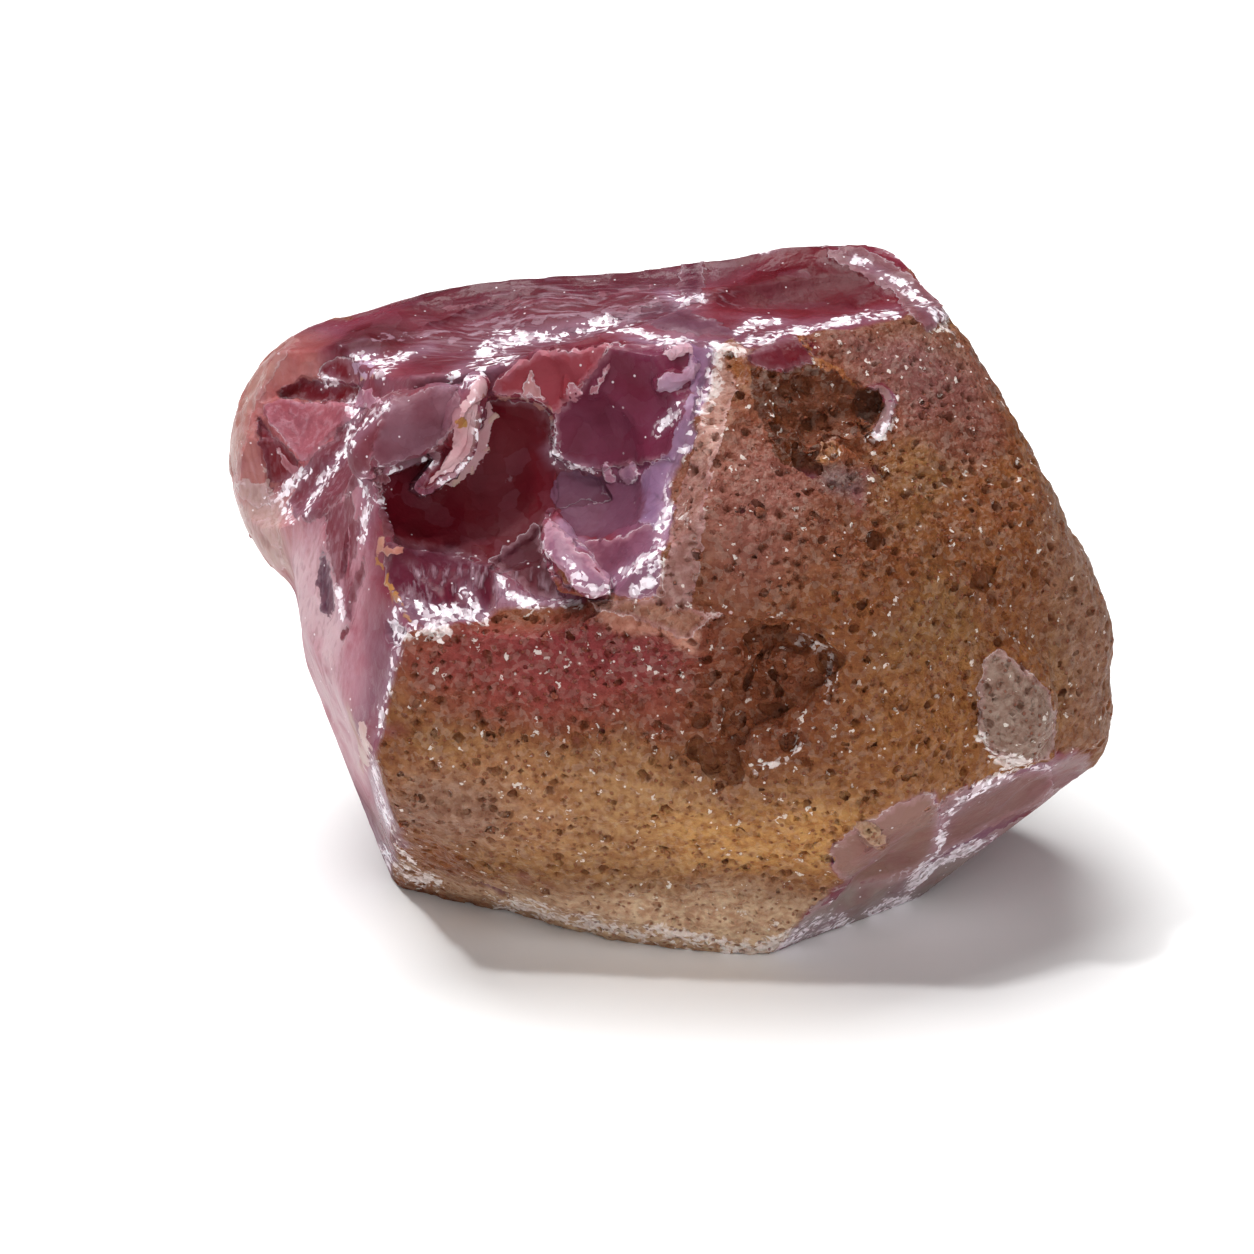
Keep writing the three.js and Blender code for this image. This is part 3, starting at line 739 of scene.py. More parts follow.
# Crushed edges, white with tiny fractures: half the width in mm and the points they run
# through.
FROSTED = {
    "white lip": (0.24, ((-8.2, 12.4), (-7.9, 11.8), (-6.7, 11.3), (-5.2, 10.9))),
    "fan frost": (0.46, ((-18.4, 1.4), (-16.2, 0.9), (-14.2, 0.8), (-12.8, 0.7))),
    "fan rib": (0.24, ((-14.0, 2.5), (-13.2, 1.4), (-12.6, 0.6))),
    "scallop edge": (0.24, ((-11.5, 3.3), (-11.2, 2.3), (-10.0, 1.9), (-8.6, 1.6), (-6.4, 1.7))),
    "leaf foot": (0.28, ((-6.2, 3.4), (-5.2, 2.8), (-4.2, 2.8))),
    "leaf rib": (0.2, ((-6.9, 4.8), (-6.2, 3.9), (-5.6, 3.2))),
    "right fan frost": (0.44, ((-2.0, 2.4), (-1.0, 3.6), (-0.5, 5.2), (-0.3, 6.6))),
    "right fan rib": (0.24, ((-4.2, 2.9), (-2.8, 3.9), (-1.4, 4.8))),
    "wall top": (0.6, ((3.4, 19.2), (3.3, 17.7), (2.8, 15.9), (2.3, 14.2), (1.7, 13.0), (0.9, 11.6))),
    "wall foot": (0.3, ((0.9, 11.6), (0.4, 10.7), (0.1, 9.6), (0.2, 8.6), (1.3, 7.6))),
    "wall low": (0.24, ((0.2, 8.4), (-0.1, 7.0), (-0.2, 5.6))),
    "wall spray": (0.2, ((-0.4, 14.0), (0.6, 14.8), (0.9, 15.4))),
    "pocket edge": (0.2, ((-21.1, 10.3), (-21.0, 8.9), (-20.9, 7.9), (-21.1, 6.1))),
    "corner": (0.46, ((-18.8, 0.6), (-18.6, -0.6), (-17.0, 0.0), (-15.4, -0.4))),
    "front ridge": (0.42, ((-12.8, 19.2), (-11.6, 20.0), (-8.8, 20.4), (-6.7, 20.8), (-4.2, 21.4))),
    "front streak": (0.28, ((-14.2, 17.2), (-13.0, 17.9), (-11.6, 18.6), (-10.8, 18.9))),
    "ridge thread": (0.16, ((-15.2, 17.1), (-14.4, 18.0), (-13.2, 18.6))),
    "middle ridge": (0.2, ((-4.0, 21.3), (-2.6, 21.0), (-1.2, 20.2), (0.0, 19.9), (1.6, 20.0))),
    "ridge to nook": (0.24, ((3.4, 19.6), (5.2, 19.3), (6.6, 19.9), (8.2, 20.6))),
    "pan loop": (0.1, ((4.9, 20.6), (6.0, 21.4), (7.0, 21.3), (8.4, 21.3))),
    "right ridge": (0.2, ((9.0, 20.8), (11.0, 21.0), (12.6, 21.3), (14.0, 21.7), (16.1, 22.0))),
    "divider chip": (0.24, ((0.3, 23.1), (0.9, 22.8), (1.8, 22.9), (2.5, 23.0))),
    "cup corner": (0.32, ((-21.9, 15.4), (-21.7, 15.0), (-22.0, 14.4))),
    "cup edge": (0.12, ((-23.9, 17.3), (-23.2, 17.1))),
    "strip head": (0.16, ((-25.2, 11.0), (-26.0, 10.3), (-27.0, 9.3), (-27.6, 8.8))),
    "strip spot": (0.32, ((-26.5, 8.3), (-26.2, 7.6))),
    "strip line": (0.11, ((-19.4, 15.6), (-21.6, 13.4), (-23.8, 10.6), (-25.2, 8.0))),
    "strip chip": (0.2, ((-22.8, 2.6), (-22.7, 1.6), (-22.6, 0.8))),
    "froth": (0.2, ((-21.8, 18.9), (-20.6, 19.0), (-19.8, 18.3), (-20.0, 17.4))),
    "froth right": (0.1, ((-19.4, 18.4), (-18.2, 19.0), (-16.4, 19.6))),
    "nook rim frost": (0.2, ((16.0, 16.0), (15.9, 14.6), (15.2, 13.7), (14.6, 13.2))),
    "recess rim": (0.15, ((9.4, -0.9), (11.3, -1.6), (11.6, -3.6), (11.2, -5.1))),
    "recess foot": (0.12, ((6.6, -10.0), (8.7, -9.0), (9.4, -8.2))),
    "patch foot": (0.28, ((22.0, -7.6), (23.2, -9.4), (26.8, -9.8))),
    "facet ridge": (0.24, ((18.5, -17.0), (19.2, -14.9), (19.6, -13.2), (21.6, -11.4), (23.8, -10.4))),
    "facet foot": (0.3, ((14.4, -20.0), (16.4, -19.0), (17.5, -17.7), (18.9, -16.4), (23.0, -14.8))),
    "base band": (0.4, ((-11.6, -19.2), (-4.6, -20.9), (2.4, -21.9), (6.0, -22.6), (12.2, -20.4))),
    "pan right rim": (0.12, ((13.2, 25.8), (16.6, 23.9), (18.6, 22.2), (20.6, 19.8))),
    "strip edge": (0.08, (
        (-18.7, -1.6), (-19.7, -5.1), (-20.4, -9.3), (-20.1, -12.1), (-18.6, -15.6), (-15.8, -18.1))),
    "left foot": (0.4, ((-22.3, -12.4), (-20.4, -15.6), (-17.2, -17.7))),
}


def noise_at(places, size, shift=0):
    """Smooth noise from -1 to 1 in three directions, with features of one size in mm."""
    offset = Vector((shift, -shift, 2 * shift))
    return np.array([noise.noise_vector(Vector(place) / size + offset) for place in places])


def spots_of(places):
    """Where the eye sees each place on its sheet, across and up in mm."""
    tilt = math.radians(EYE_LOOKS_DOWN)
    away = places - EYE
    ahead = away @ (0, math.cos(tilt), -math.sin(tilt))
    above = away @ (0, math.sin(tilt), math.cos(tilt))
    return np.stack((away[:, 0], above), axis=1) / ahead[:, None] * EYE_REACH + (EYE[0], 0)


def plainly_seen(obj):
    """1 for each vertex that the eye sees, and 0 where stone hides it."""
    toward = EYE - places_of(obj)
    toward /= np.linalg.norm(toward, axis=1)[:, None]
    facing_eye = (normals_of(obj) * toward).sum(axis=1)
    surface = surface_of(obj)
    clear = np.zeros(len(toward))
    for number in np.flatnonzero(facing_eye > 0):
        way = Vector(toward[number])
        start = obj.data.vertices[number].co + way * 0.6 * MM
        clear[number] = surface.ray_cast(start, way)[0] is None
    return clear * ease(0, 0.12, facing_eye)


def outline_depth(spots, points, half_width=None):
    """How far each spot lies inside an outline, or inside a line of a half width, in mm."""
    corners = np.array(points)
    near = ((spots > corners.min(axis=0) - 2) & (spots < corners.max(axis=0) + 2)).all(axis=1)
    close = spots[near]
    gap = np.full(len(close), 9.0)
    within = np.zeros(len(close), bool)
    ends = np.roll(corners, -1, axis=0)
    if half_width:
        corners, ends = corners[:-1], ends[:-1]
    for start, end in zip(corners, ends):
        edge = end - start
        along = np.clip((close - start) @ edge / (edge @ edge), 0, 1)
        gap = np.minimum(gap, np.linalg.norm(close - start - along[:, None] * edge, axis=1))
        crosses = (start[1] > close[:, 1]) != (end[1] > close[:, 1])
        slope = edge[0] / edge[1] if edge[1] else 0
        within ^= crosses & (close[:, 0] < start[0] + (close[:, 1] - start[1]) * slope)
    depth = np.full(len(spots), -9.0)
    depth[near] = half_width - gap if half_width else np.where(within, gap, -gap)
    return depth


def skin_depth(places, skin):
    """How deep each place lies under the worn skin, in mm, and less than 0 outside it."""
    tree = surface_of(skin)
    depths = []
    for place in places:
        point = Vector(place) * MM
        at, normal, _, _ = tree.find_nearest(point)
        depths.append((at - point).dot(normal) / MM)
    return np.array(depths)


def make_lump():
    lump, skin = main_form()
    remesh(lump, FINE_VOXEL)
    chip(lump, skin)
    raise_flakes(lump)

    places = places_of(lump)
    depth = skin_depth(places, skin)
    raw = np.zeros(len(places))
    for middle, radii in RAW.values():
        raw = np.maximum(raw, ease(1.1, 0.9, inside(places, middle, radii)))
    bare = np.zeros(len(places))
    wander = noise_at(places, 4.5, 7) + 0.4 * noise_at(places, 1.3, 8)
    for middle, radii in BARE.values():
        bare = np.maximum(bare, ease(1.05, 0.95, inside(places + 1.6 * wander, middle, radii)))
    rind = np.maximum(ease(0.75, 0.45, depth + 0.7 * wander[:, 0]) * (1 - bare), raw)
    seen = plainly_seen(lump)
    spots = spots_of(places)
    ragged = spots + 0.2 * noise_at(places, 0.8)[:, :2]
    step = np.zeros(len(places))
    for _, _, stuff, height, _, points in SHEETS.values():
        share = ease(-0.15, 0.15, outline_depth(ragged, points)) * seen
        rind = rind * (1 - share) + share * (stuff == "rind")
        step += share * height
    for _, stuff, width, points in THREADS.values():
        share = ease(-0.3, 0.1, outline_depth(spots, points, width)) * seen
        rind = rind * (1 - share) + share * (stuff == "rind")
    crushed = np.zeros(len(places))
    for width, points in FROSTED.values():
        share = ease(-0.4, 0.4, outline_depth(spots, points, width)) * seen
        crushed = np.maximum(crushed, share)
    narrow = ridge_height(lump, 8)
    broad = ridge_height(lump, 60)
    weigh(lump, "rind", rind)
    weigh(lump, "glass", 1 - rind)
    weigh(lump, "edge", np.clip(ease(0.03, 0.12, narrow) + 0.7 * ease(0.15, 0.6, broad), 0, 1))

    for name, (middle, radii, _, _, plain) in FIBRES.items():
        weigh(lump, name, ease(1.1, 0.7, inside(places, middle, radii)) * (1 - rind) * plain)
    weigh(lump, "seen", seen)
    weigh(lump, "raised", np.clip(step, 0, 1))
    weigh(lump, "sunk", np.clip(-step, 0, 1))
    weigh(lump, "crushed", crushed)

    apply_modifier(lump, "DISPLACE", strength=MM, mid_level=0, vertex_group="raised")
    apply_modifier(lump, "DISPLACE", strength=-MM, mid_level=0, vertex_group="sunk")
    relief(lump, "grain", "CLOUDS", 0.9, 0.35, group="rind", noise_depth=2)
    relief(lump, "humps", "CLOUDS", 2.4, 0.5, group="rind", noise_depth=1)
    relief(lump, "pits", "VORONOI", 1.5, 0.5, group="rind", middle=1, ramp=(0.1, 0.24))
    relief(lump, "small pits", "VORONOI", 0.9, 0.3, group="rind", middle=1, ramp=(0.12, 0.26))
    relief(lump, "chipped edges", "CLOUDS", 0.55, 0.5, group="edge", noise_depth=1)
    relief(lump, "flow", "CLOUDS", 3.5, 0.14, group="glass", noise_depth=2)
    relief(lump, "crumbs", "CLOUDS", 0.5, 0.3, group="crushed", noise_depth=1)
    for name, (_, _, turn, stretch, _) in FIBRES.items():
        relief(lump, name, "CLOUDS", 1.1, 0.45, group=name, along=(turn, stretch), noise_depth=1)

    rows = places_of(lump) * MM
    rows[:, 2] = np.maximum(rows[:, 2], 0)
    lump.data.vertices.foreach_set("co", rows.ravel())
    apply_modifier(lump, "TRIANGULATE")
    apply_modifier(lump, "DECIMATE", ratio=min(1, TRIANGLE_LIMIT / len(lump.data.polygons)))
    work_on(lump)
    bpy.ops.object.shade_smooth_by_angle(angle=math.radians(32))
    return lump, skin


lump, skin = make_lump()

# ------------------------------------------------------------------ colours

def hue(code):
    """A colour in linear light from its sRGB hex value."""
    parts = [int(code[i : i + 2], 16) / 255 for i in (1, 3, 5)]
    return tuple(p / 12.92 if p <= 0.04045 else ((p + 0.055) / 1.055) ** 2.4 for p in parts)


GLASS_TINTS = ("#722B39", "#5E0E1B", "#795060")
RIND_TINTS = ("#7A4825", "#815931", "#744124")
# Where a zone's colour differs: its middle, its radii, its colour, how fully it covers
# and whether it lies on the glassy breaks, the sandy rind or both.
ZONES = {
    "strip": ((-23, -6, 22), (6, 10, 15), "#AE7884", 0.85, "glass"),
    "strip top": ((-18.6, -7.2, 36.4), (4.4, 3.6, 4.6), "#713D49", 0.9, "glass"),
    "strip lens": ((-22.2, -8.6, 27.4), (0.9, 1.5, 1.6), "#643B4D", 0.8, "glass"),
    "strip slit": ((-21, -9.6, 26), (0.6, 1.4, 3.2), "#711A2A", 0.8, "glass"),
    "strip cream": ((-20.6, -13, 16.4), (1.1, 2, 2.4), "#B2998E", 0.8, "both"),
    "strip edge": ((-19.6, -13, 10), (2, 4, 3.5), "#9A7F8C", 0.7, "both"),
    "strip pale": ((-24, -6, 17), (4, 8, 10), "#CFB6BA", 0.6, "glass"),
    "hollow": ((-9, -12, 34), (11, 7, 6.5), "#742E3D", 0.8, "glass"),
    "pocket": ((-11.5, -10, 33.0), (6.4, 4.6, 3.6), "#5E0E1F", 0.9, "glass"),
    "pocket core": ((-9.5, -9.6, 32.6), (3.4, 3, 1.8), "#470A17", 0.8, "glass"),
    "pocket floor": ((-12.6, -13.4, 30.6), (4.6, 2.6, 1.6), "#591421", 0.8, "glass"),
    "pocket roof": ((-9, -8.4, 39), (4.2, 2, 1.6), "#802C3A", 0.8, "glass"),
    "roof lip": ((-9, -9, 38.4), (3, 2, 0.5), "#A56B73", 0.7, "glass"),
    "dome lip": ((-17.4, -8.6, 35.4), (2.8, 3, 2.6), "#74545C", 0.8, "glass"),
    "tongue": ((-13.6, -11, 36), (1.5, 1.6, 3.6), "#A88088", 0.9, "glass"),
    "tongue rim": ((-12.6, -11, 37), (0.6, 2, 2.4), "#B99991", 0.8, "glass"),
    "gold spot": ((-13.8, -9.8, 37), (0.4, 0.8, 0.35), "#A57037", 0.9, "glass"),
    "plum face": ((-2.8, -10, 37.4), (4.4, 3, 4.2), "#6C3049", 0.85, "glass"),
    "plum upper": ((0, -11, 39), (2.5, 2, 2.5), "#7F506B", 0.8, "glass"),
    "dark diagonal": ((-6.4, -9.5, 36.5), (1.1, 2, 3), "#591624", 0.8, "glass"),
    "pink sliver": ((-4.5, -9.4, 39.8), (0.8, 2, 1.5), "#A16B76", 0.8, "glass"),
    "wall haze": ((0.6, -13, 36), (1.6, 4, 5), "#8A6984", 0.75, "glass"),
    "wall haze low": ((-1, -16.4, 31.4), (2, 3, 2.4), "#927287", 0.7, "glass"),
    "top rim": ((-6, 13.6, 41.2), (28, 4, 3), "#4F1C22", 0.7, "both"),
    "right facet": ((-2, -12.8, 33), (3, 3, 2.5), "#6F3D55", 0.8, "glass"),
    "flow": ((-13.5, -16, 28.8), (4.8, 2.6, 1.7), "#5A2134", 0.9, "glass"),
    "dark scallop": ((-9.4, -17.2, 28.8), (1.6, 1.4, 1), "#561A28", 0.9, "glass"),
    "leaf": ((-6.8, -15.5, 30.4), (1.6, 3, 1.6), "#917087", 0.8, "glass"),
    "right flakes": ((-3, -17, 29.8), (2.6, 2, 1.4), "#94788B", 0.8, "glass"),
    "lozenge": ((-18.8, -10.5, 33), (0.8, 1.2, 1), "#A16977", 0.8, "glass"),
    "gold flake": ((-18, -13, 30), (0.9, 1, 0.4), "#B28764", 0.9, "glass"),
    "gold thread": ((-17.6, -15, 28.2), (0.4, 1.4, 1.6), "#A5764A", 0.9, "both"),
    "plum pit": ((-17.7, -16.8, 25), (0.8, 1, 0.9), "#642A3D", 0.9, "both"),
    "lobe": ((-28, 5, 30), (6, 9, 9), "#AC726B", 0.75, "glass"),
    "lobe low": ((-28, 2, 24), (3.4, 5, 3.4), "#B2948E", 0.8, "glass"),
    "lobe cup": ((-25.6, 0.4, 33), (3.6, 3, 4.2), "#A8545A", 0.8, "glass"),
    "cup red": ((-24.4, -0.4, 36.3), (3.2, 2, 0.9), "#65151F", 0.95, "glass"),
    "cup red upper": ((-24, 1, 38), (1.4, 2, 0.8), "#832731", 0.8, "glass"),
    "crevice": ((-27.4, 0, 30.4), (1.2, 3, 2.4), "#72202A", 0.8, "glass"),
    "gold rim": ((-20.2, -4.8, 38.7), (0.6, 0.5, 0.3), "#A5794A", 0.9, "glass"),
    "trough": ((-10, 3, 40), (13, 9, 3), "#5A1826", 0.85, "glass"),
    "trough dark": ((-20.6, 5, 38.3), (3.4, 3, 1.4), "#4C0E17", 0.9, "glass"),
    "trough back rim": ((-12, 11.6, 40.5), (12, 2.6, 2), "#54202A", 0.8, "both"),
    "pan": ((9.5, 4, 41.5), (9, 8, 2.6), "#640E1B", 0.95, "glass"),
    "pan core": ((10, 7, 41.5), (6, 4, 2.4), "#4C0A14", 0.8, "glass"),
    "pan front": ((7.4, -3.6, 41.8), (6.4, 2, 1), "#6B2A37", 0.8, "glass"),
    "divider": ((0, 8, 41.8), (1.5, 4.4, 1.6), "#835D71", 0.8, "glass"),
    "mauve ridge": ((-2, -7.5, 41.3), (2, 1.4, 0.8), "#7F5E71", 0.8, "glass"),
    "red zone": ((-8, -19.5, 24), (12, 3, 4.5), "#833233", 0.85, "rind"),
    "red core": ((-3, -19.5, 25), (7, 3, 2.5), "#72252B", 0.7, "rind"),
    "pink side": ((5.6, -15, 33.4), (6, 6, 6), "#87534D", 0.8, "rind"),
    "pink shoulder": ((16, -8, 39.4), (8, 6, 3.4), "#7B4F50", 0.8, "rind"),
    "right pale": ((28, -8, 26), (3.4, 8, 13), "#89644F", 0.8, "rind"),
    "ochre": ((0, -19, 12.4), (15, 5, 5), "#AE865A", 0.7, "rind"),
    "left sand": ((-12, -18, 14), (6, 4, 4), "#A5754F", 0.6, "rind"),
    "ochre band": ((7, -20, 11), (8, 4, 3.4), "#BC8B50", 0.8, "rind"),
    "low sand": ((18, -17, 17), (9, 6, 7), "#966434", 0.6, "rind"),
    "foot grey": ((4, -15, 3), (15, 7, 3.6), "#BFA385", 0.8, "rind"),
    "mauve patch": ((-14.5, -18, 12.5), (4.4, 4, 3), "#725956", 0.5, "rind"),
    "rust line": ((-7, -13.5, 3), (4, 3, 0.4), "#7D471D", 0.8, "rind"),
    "red patch": ((19.5, -9, 37), (3.5, 3, 3), "#6C3A31", 0.7, "rind"),
    "upper shade": ((13, -16, 32), (7, 5, 3.4), "#69391C", 0.55, "rind"),
    "recess": ((5.5, -19, 21), (4.8, 4, 6.6), "#6C361A", 0.85, "rind"),
    "nook": ((11, -12, 38.5), (5, 4.6, 3.4), "#743A1B", 0.9, "rind"),
    "nook glass": ((7.4, -8.2, 41.4), (2.3, 2, 1.3), "#641624", 0.95, "both"),
    "nook orange": ((4.6, -10.8, 40.6), (1, 1.2, 1.7), "#985D37", 0.8, "both"),
    "nook grey": ((11.6, -14.8, 35.2), (2.2, 2, 1.5), "#634D4F", 0.8, "rind"),
    "gold crumb": ((10.4, -13.8, 36.6), (0.6, 0.8, 0.5), "#A36C31", 0.9, "rind"),
    "ledge": ((-1.6, -20, 27.6), (3.3, 2, 1.3), "#AF7967", 0.85, "both"),
    "ledge point": ((1.2, -20.6, 26.6), (1, 1, 0.9), "#BC8977", 0.9, "both"),
    "base crust": ((-5, -14, 2.2), (19, 9, 2.6), "#D2B292", 0.7, "rind"),
    "lower facet": ((15.5, -13, 9), (5, 6, 4.4), "#8A5F5E", 0.9, "glass"),
    "side facet": ((25, -9, 11), (5, 6, 4), "#805957", 0.9, "glass"),
    "lower rim": ((14, -9.5, 3.4), (5.4, 4, 2), "#A58C89", 0.8, "both"),
    "cream patch": ((13.6, -19.4, 12.4), (1.3, 1.6, 0.8), "#B39079", 0.9, "both"),
}


def write(obj, name, rows, fourth=None):
    """Keeps three numbers for each vertex, and a fourth where there is one."""
    layer = obj.data.attributes.new(name, "FLOAT_COLOR", "POINT")
    last = np.ones(len(rows)) if fourth is None else fourth
    layer.data.foreach_set("color", np.column_stack((rows, last)).ravel())


def paint(obj, skin):
    """Writes each vertex's colour, and its share of rind, frost and pit, on the mesh."""
    places = places_of(obj)
    rind = weights_of(obj, "rind")
    narrow, broad = ridge_height(obj, 3), ridge_height(obj, 24)
    worn_edge = 0.45 * ease(0.05, 0.14, narrow) * (1 - 0.8 * rind) + 0.3 * ease(0.15, 0.35, broad)
    spots = spots_of(places)
    seen = weights_of(obj, "seen")
    crushed = np.zeros(len(places))
    for width, points in FROSTED.values():
        share = ease(-0.7, 0.25, outline_depth(spots, points, width)) * seen
        crushed = np.maximum(crushed, share)
    frost = np.clip(worn_edge + crushed, 0, 1)
    deep = skin_depth(places, skin)
    # Rind darker in hollows and deep under the skin: part painted shade, part brown pits.
    hollow = ease(0.05, 0.3, -ridge_height(obj, 12))
    pit = np.clip(ease(0.15, 0.6, deep) * 0.5 + hollow, 0, 1) * rind + ease(1.5, 5, deep) * (1 - rind)
    mottle = noise_at(places, 6.5, 3)
    fine = noise_at(places, 1.6, 9)
    warped = places + 1.1 * noise_at(places, 3.2, 5) + 0.45 * fine
    layers = {"glass": [hue(c) for c in GLASS_TINTS], "rind": [hue(c) for c in RIND_TINTS]}
    tints = {}
    for layer, (first, second, third) in layers.items():
        tone = np.array(first) * np.ones((len(places), 1))
        for other, channel in ((second, 0), (third, 1)):
            share = ease(0.0, 0.45, mottle[:, channel])[:, None] * 0.8
            tone = tone * (1 - share) + np.array(other) * share
        tints[layer] = tone
    for middle, radii, colour, cover, where in ZONES.values():
        edge = 0.55 if where == "rind" else 0.2
        share = cover * ease(1 + edge, 1 - edge, inside(warped, middle, radii))[:, None]
        for layer in ("glass", "rind"):
            if where in (layer, "both"):
                tints[layer] = tints[layer] * (1 - share) + np.array(hue(colour)) * share
    mask = rind[:, None]
    tint = tints["glass"] * (1 - mask) + tints["rind"] * mask
    fibres = np.stack([weights_of(obj, name) for name in FIBRES], axis=1)
    finish_and_shade = np.stack((rind, frost, pit), axis=1)
    rims = np.zeros((len(places), 4))
    write(obj, "tint", tint)
    write(obj, "finish_and_shade", finish_and_shade)
    write(obj, "fibres", fibres)
    drawings = [(coat, c, rim, points) for coat, c, _, _, rim, points in SHEETS.values() if c]
    drawings += [(3, c, 0, points, width) for c, _, width, points in THREADS.values()]
    for coat in range(4):
        nearest = np.full(len(places), -9.0)
        tone = np.zeros((len(places), 3))
        for _, colour, rim, *outline in [row for row in drawings if row[0] == coat]:
            depth = outline_depth(spots, *outline)
            nearer = depth > nearest
            nearest[nearer] = depth[nearer]
            tone[nearer] = hue(colour)
            rims[nearer, coat] = rim
        write(obj, f"coat_{coat}", tone, (0.5 + 0.5 * np.clip(nearest, -1, 1)) * seen)
    write(obj, "rims", rims[:, :3], rims[:, 3])


paint(lump, skin)

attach(lump, "root")
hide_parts(NODE)
bpy.data.objects.remove(skin)


def add(tree, kind, inputs=(), out=0, **settings):
    """Adds a node with its settings, and values or links for its sockets.

    It gives one of the node's outputs, or all of them where out is None."""
    node = tree.nodes.new(kind)
    for name, value in settings.items():
        setattr(node, name, value)
    for socket, value in dict(inputs).items():
        if isinstance(value, bpy.types.NodeSocket):
            tree.links.new(value, node.inputs[socket])
        else:
            node.inputs[socket].default_value = value
    return node.outputs if out is None else node.outputs[out]


def raw_carnelian():
    """Chalcedony as it breaks: waxy glass inside that is white where its edges are
    crushed, and a dry sandy rind outside, pitted; tiny glints are painted on both."""
    material = bpy.data.materials.new("raw_carnelian")
    material.use_nodes = True
    tree = material.node_tree
    shader = tree.nodes["Principled BSDF"]
    noisy, ranged, mixed, maths = (
        "ShaderNodeTexNoise",
        "ShaderNodeMapRange",
        "ShaderNodeMix",
        "ShaderNodeMath",
    )
    where = add(tree, "ShaderNodeTexCoord", out="Object")
    finish_and_shade = add(tree, "ShaderNodeAttribute", out="Vector", attribute_name="finish_and_shade")
    rind, frost, pit = add(tree, "ShaderNodeSeparateXYZ", {0: finish_and_shade}, out=None)
    cloud = add(tree, noisy, {"Vector": where, "Scale": 1 / (3.5 * MM), "Detail": 6})
    ragged = add(tree, noisy, {"Vector": where, "Scale": 1 / (0.8 * MM), "Detail": 6})
    speck = add(tree, noisy, {"Vector": where, "Scale": 1 / (0.3 * MM), "Detail": 2})
    crumb = add(tree, noisy, {"Vector": where, "Scale": 1 / (0.6 * MM), "Detail": 4})
    patchy = add(tree, noisy, {"Vector": where, "Scale": 1 / (2.2 * MM), "Detail": 3})
    stir = add(tree, noisy, {"Vector": where, "Scale": 1 / (0.7 * MM), "Detail": 4}, out="Color")
    stirred = add(
        tree,
        "ShaderNodeVectorMath",
        {0: stir, 1: (0.7 * MM, 0.7 * MM, 0.7 * MM), 2: where},
        operation="MULTIPLY_ADD",
    )

    # Sheets lie over the ground colour, each with a torn outline, a paler thin margin and
    # a white lip that is chipped here and there and partly a painted highlight along the edge.
    tint = add(tree, "ShaderNodeAttribute", out="Color", attribute_name="tint")
    stray = add(tree, ranged, {0: ragged, 1: 0.3, 2: 0.7, 3: -0.12, 4: 0.12})
    margins = add(tree, "ShaderNodeAttribute", out=None, attribute_name="rims")
    rims = list(add(tree, "ShaderNodeSeparateXYZ", {0: margins["Vector"]}, out=None))
    rims.append(margins["Alpha"])
    steps = lips = 0.0
    for number, rim in enumerate(rims):
        coat = add(tree, "ShaderNodeAttribute", out=None, attribute_name=f"coat_{number}")
        depth = add(tree, maths, {0: coat["Alpha"], 1: stray})
        cover = add(tree, ranged, {0: depth, 1: 0.49, 2: 0.52})
        thin = add(tree, ranged, {0: depth, 1: 0.75, 2: 0.5, 3: 0.0, 4: 0.6})
        thin = add(tree, maths, {0: thin, 1: rim}, operation="MULTIPLY")
        colour = add(
            tree,
            mixed,
            {0: thin, 6: coat["Color"], 7: (0.62, 0.36, 0.42, 1)},
            out=2,
            data_type="RGBA",
        )
        # The lip: a white line just inside the outline, partly chipped stone, partly painted highlight.
        lip = add(tree, ranged, {0: depth, 1: 0.56, 2: 0.53})
        lip = add(tree, maths, {0: lip, 1: cover}, operation="MULTIPLY")
        lip = add(tree, maths, {0: lip, 1: rim}, operation="MULTIPLY")
        lips = add(tree, maths, {0: lips, 1: lip}, operation="MAXIMUM")
        tint = add(tree, mixed, {0: cover, 6: tint, 7: colour}, out=2, data_type="RGBA")
        steps = add(tree, maths, {0: steps, 1: cover})

    # Fibres run lengthwise through the chalcedony.
    shares = add(tree, "ShaderNodeAttribute", out="Vector", attribute_name="fibres")
    shares = add(tree, "ShaderNodeSeparateXYZ", {0: shares}, out=None)
    fibre = shade = 0.0
    for share, (_, _, turn, stretch, _) in zip(shares, FIBRES.values()):
        angles = [math.radians(a) for a in turn]
        laid = add(tree, "ShaderNodeMapping", {0: where, 2: angles, 3: stretch}, vector_type="TEXTURE")
        strand = add(tree, noisy, {"Vector": laid, "Scale": 1 / (0.42 * MM), "Detail": 5})
        pale = add(tree, ranged, {0: strand, 1: 0.5, 2: 0.66})
        pale = add(tree, maths, {0: pale, 1: share}, operation="MULTIPLY")
        fibre = add(tree, maths, {0: fibre, 1: pale})
        deeper = add(tree, ranged, {0: strand, 1: 0.48, 2: 0.36})
        deeper = add(tree, maths, {0: deeper, 1: share}, operation="MULTIPLY")
        shade = add(tree, maths, {0: shade, 1: deeper})

    # Painted glints: tiny flat mirrors of broken grain, a few to the square centimetre.
    glint_cells = add(tree, "ShaderNodeTexVoronoi", {"Vector": where, "Scale": 1 / (0.7 * MM)}, out=None)
    pick = add(tree, "ShaderNodeSeparateXYZ", {0: glint_cells["Color"]})
    pick = add(tree, ranged, {0: pick, 1: 0.78, 2: 0.8})
    mirror_glint = add(tree, ranged, {0: glint_cells["Distance"], 1: 0.14, 2: 0.09})
    mirror_glint = add(tree, maths, {0: mirror_glint, 1: pick}, operation="MULTIPLY")

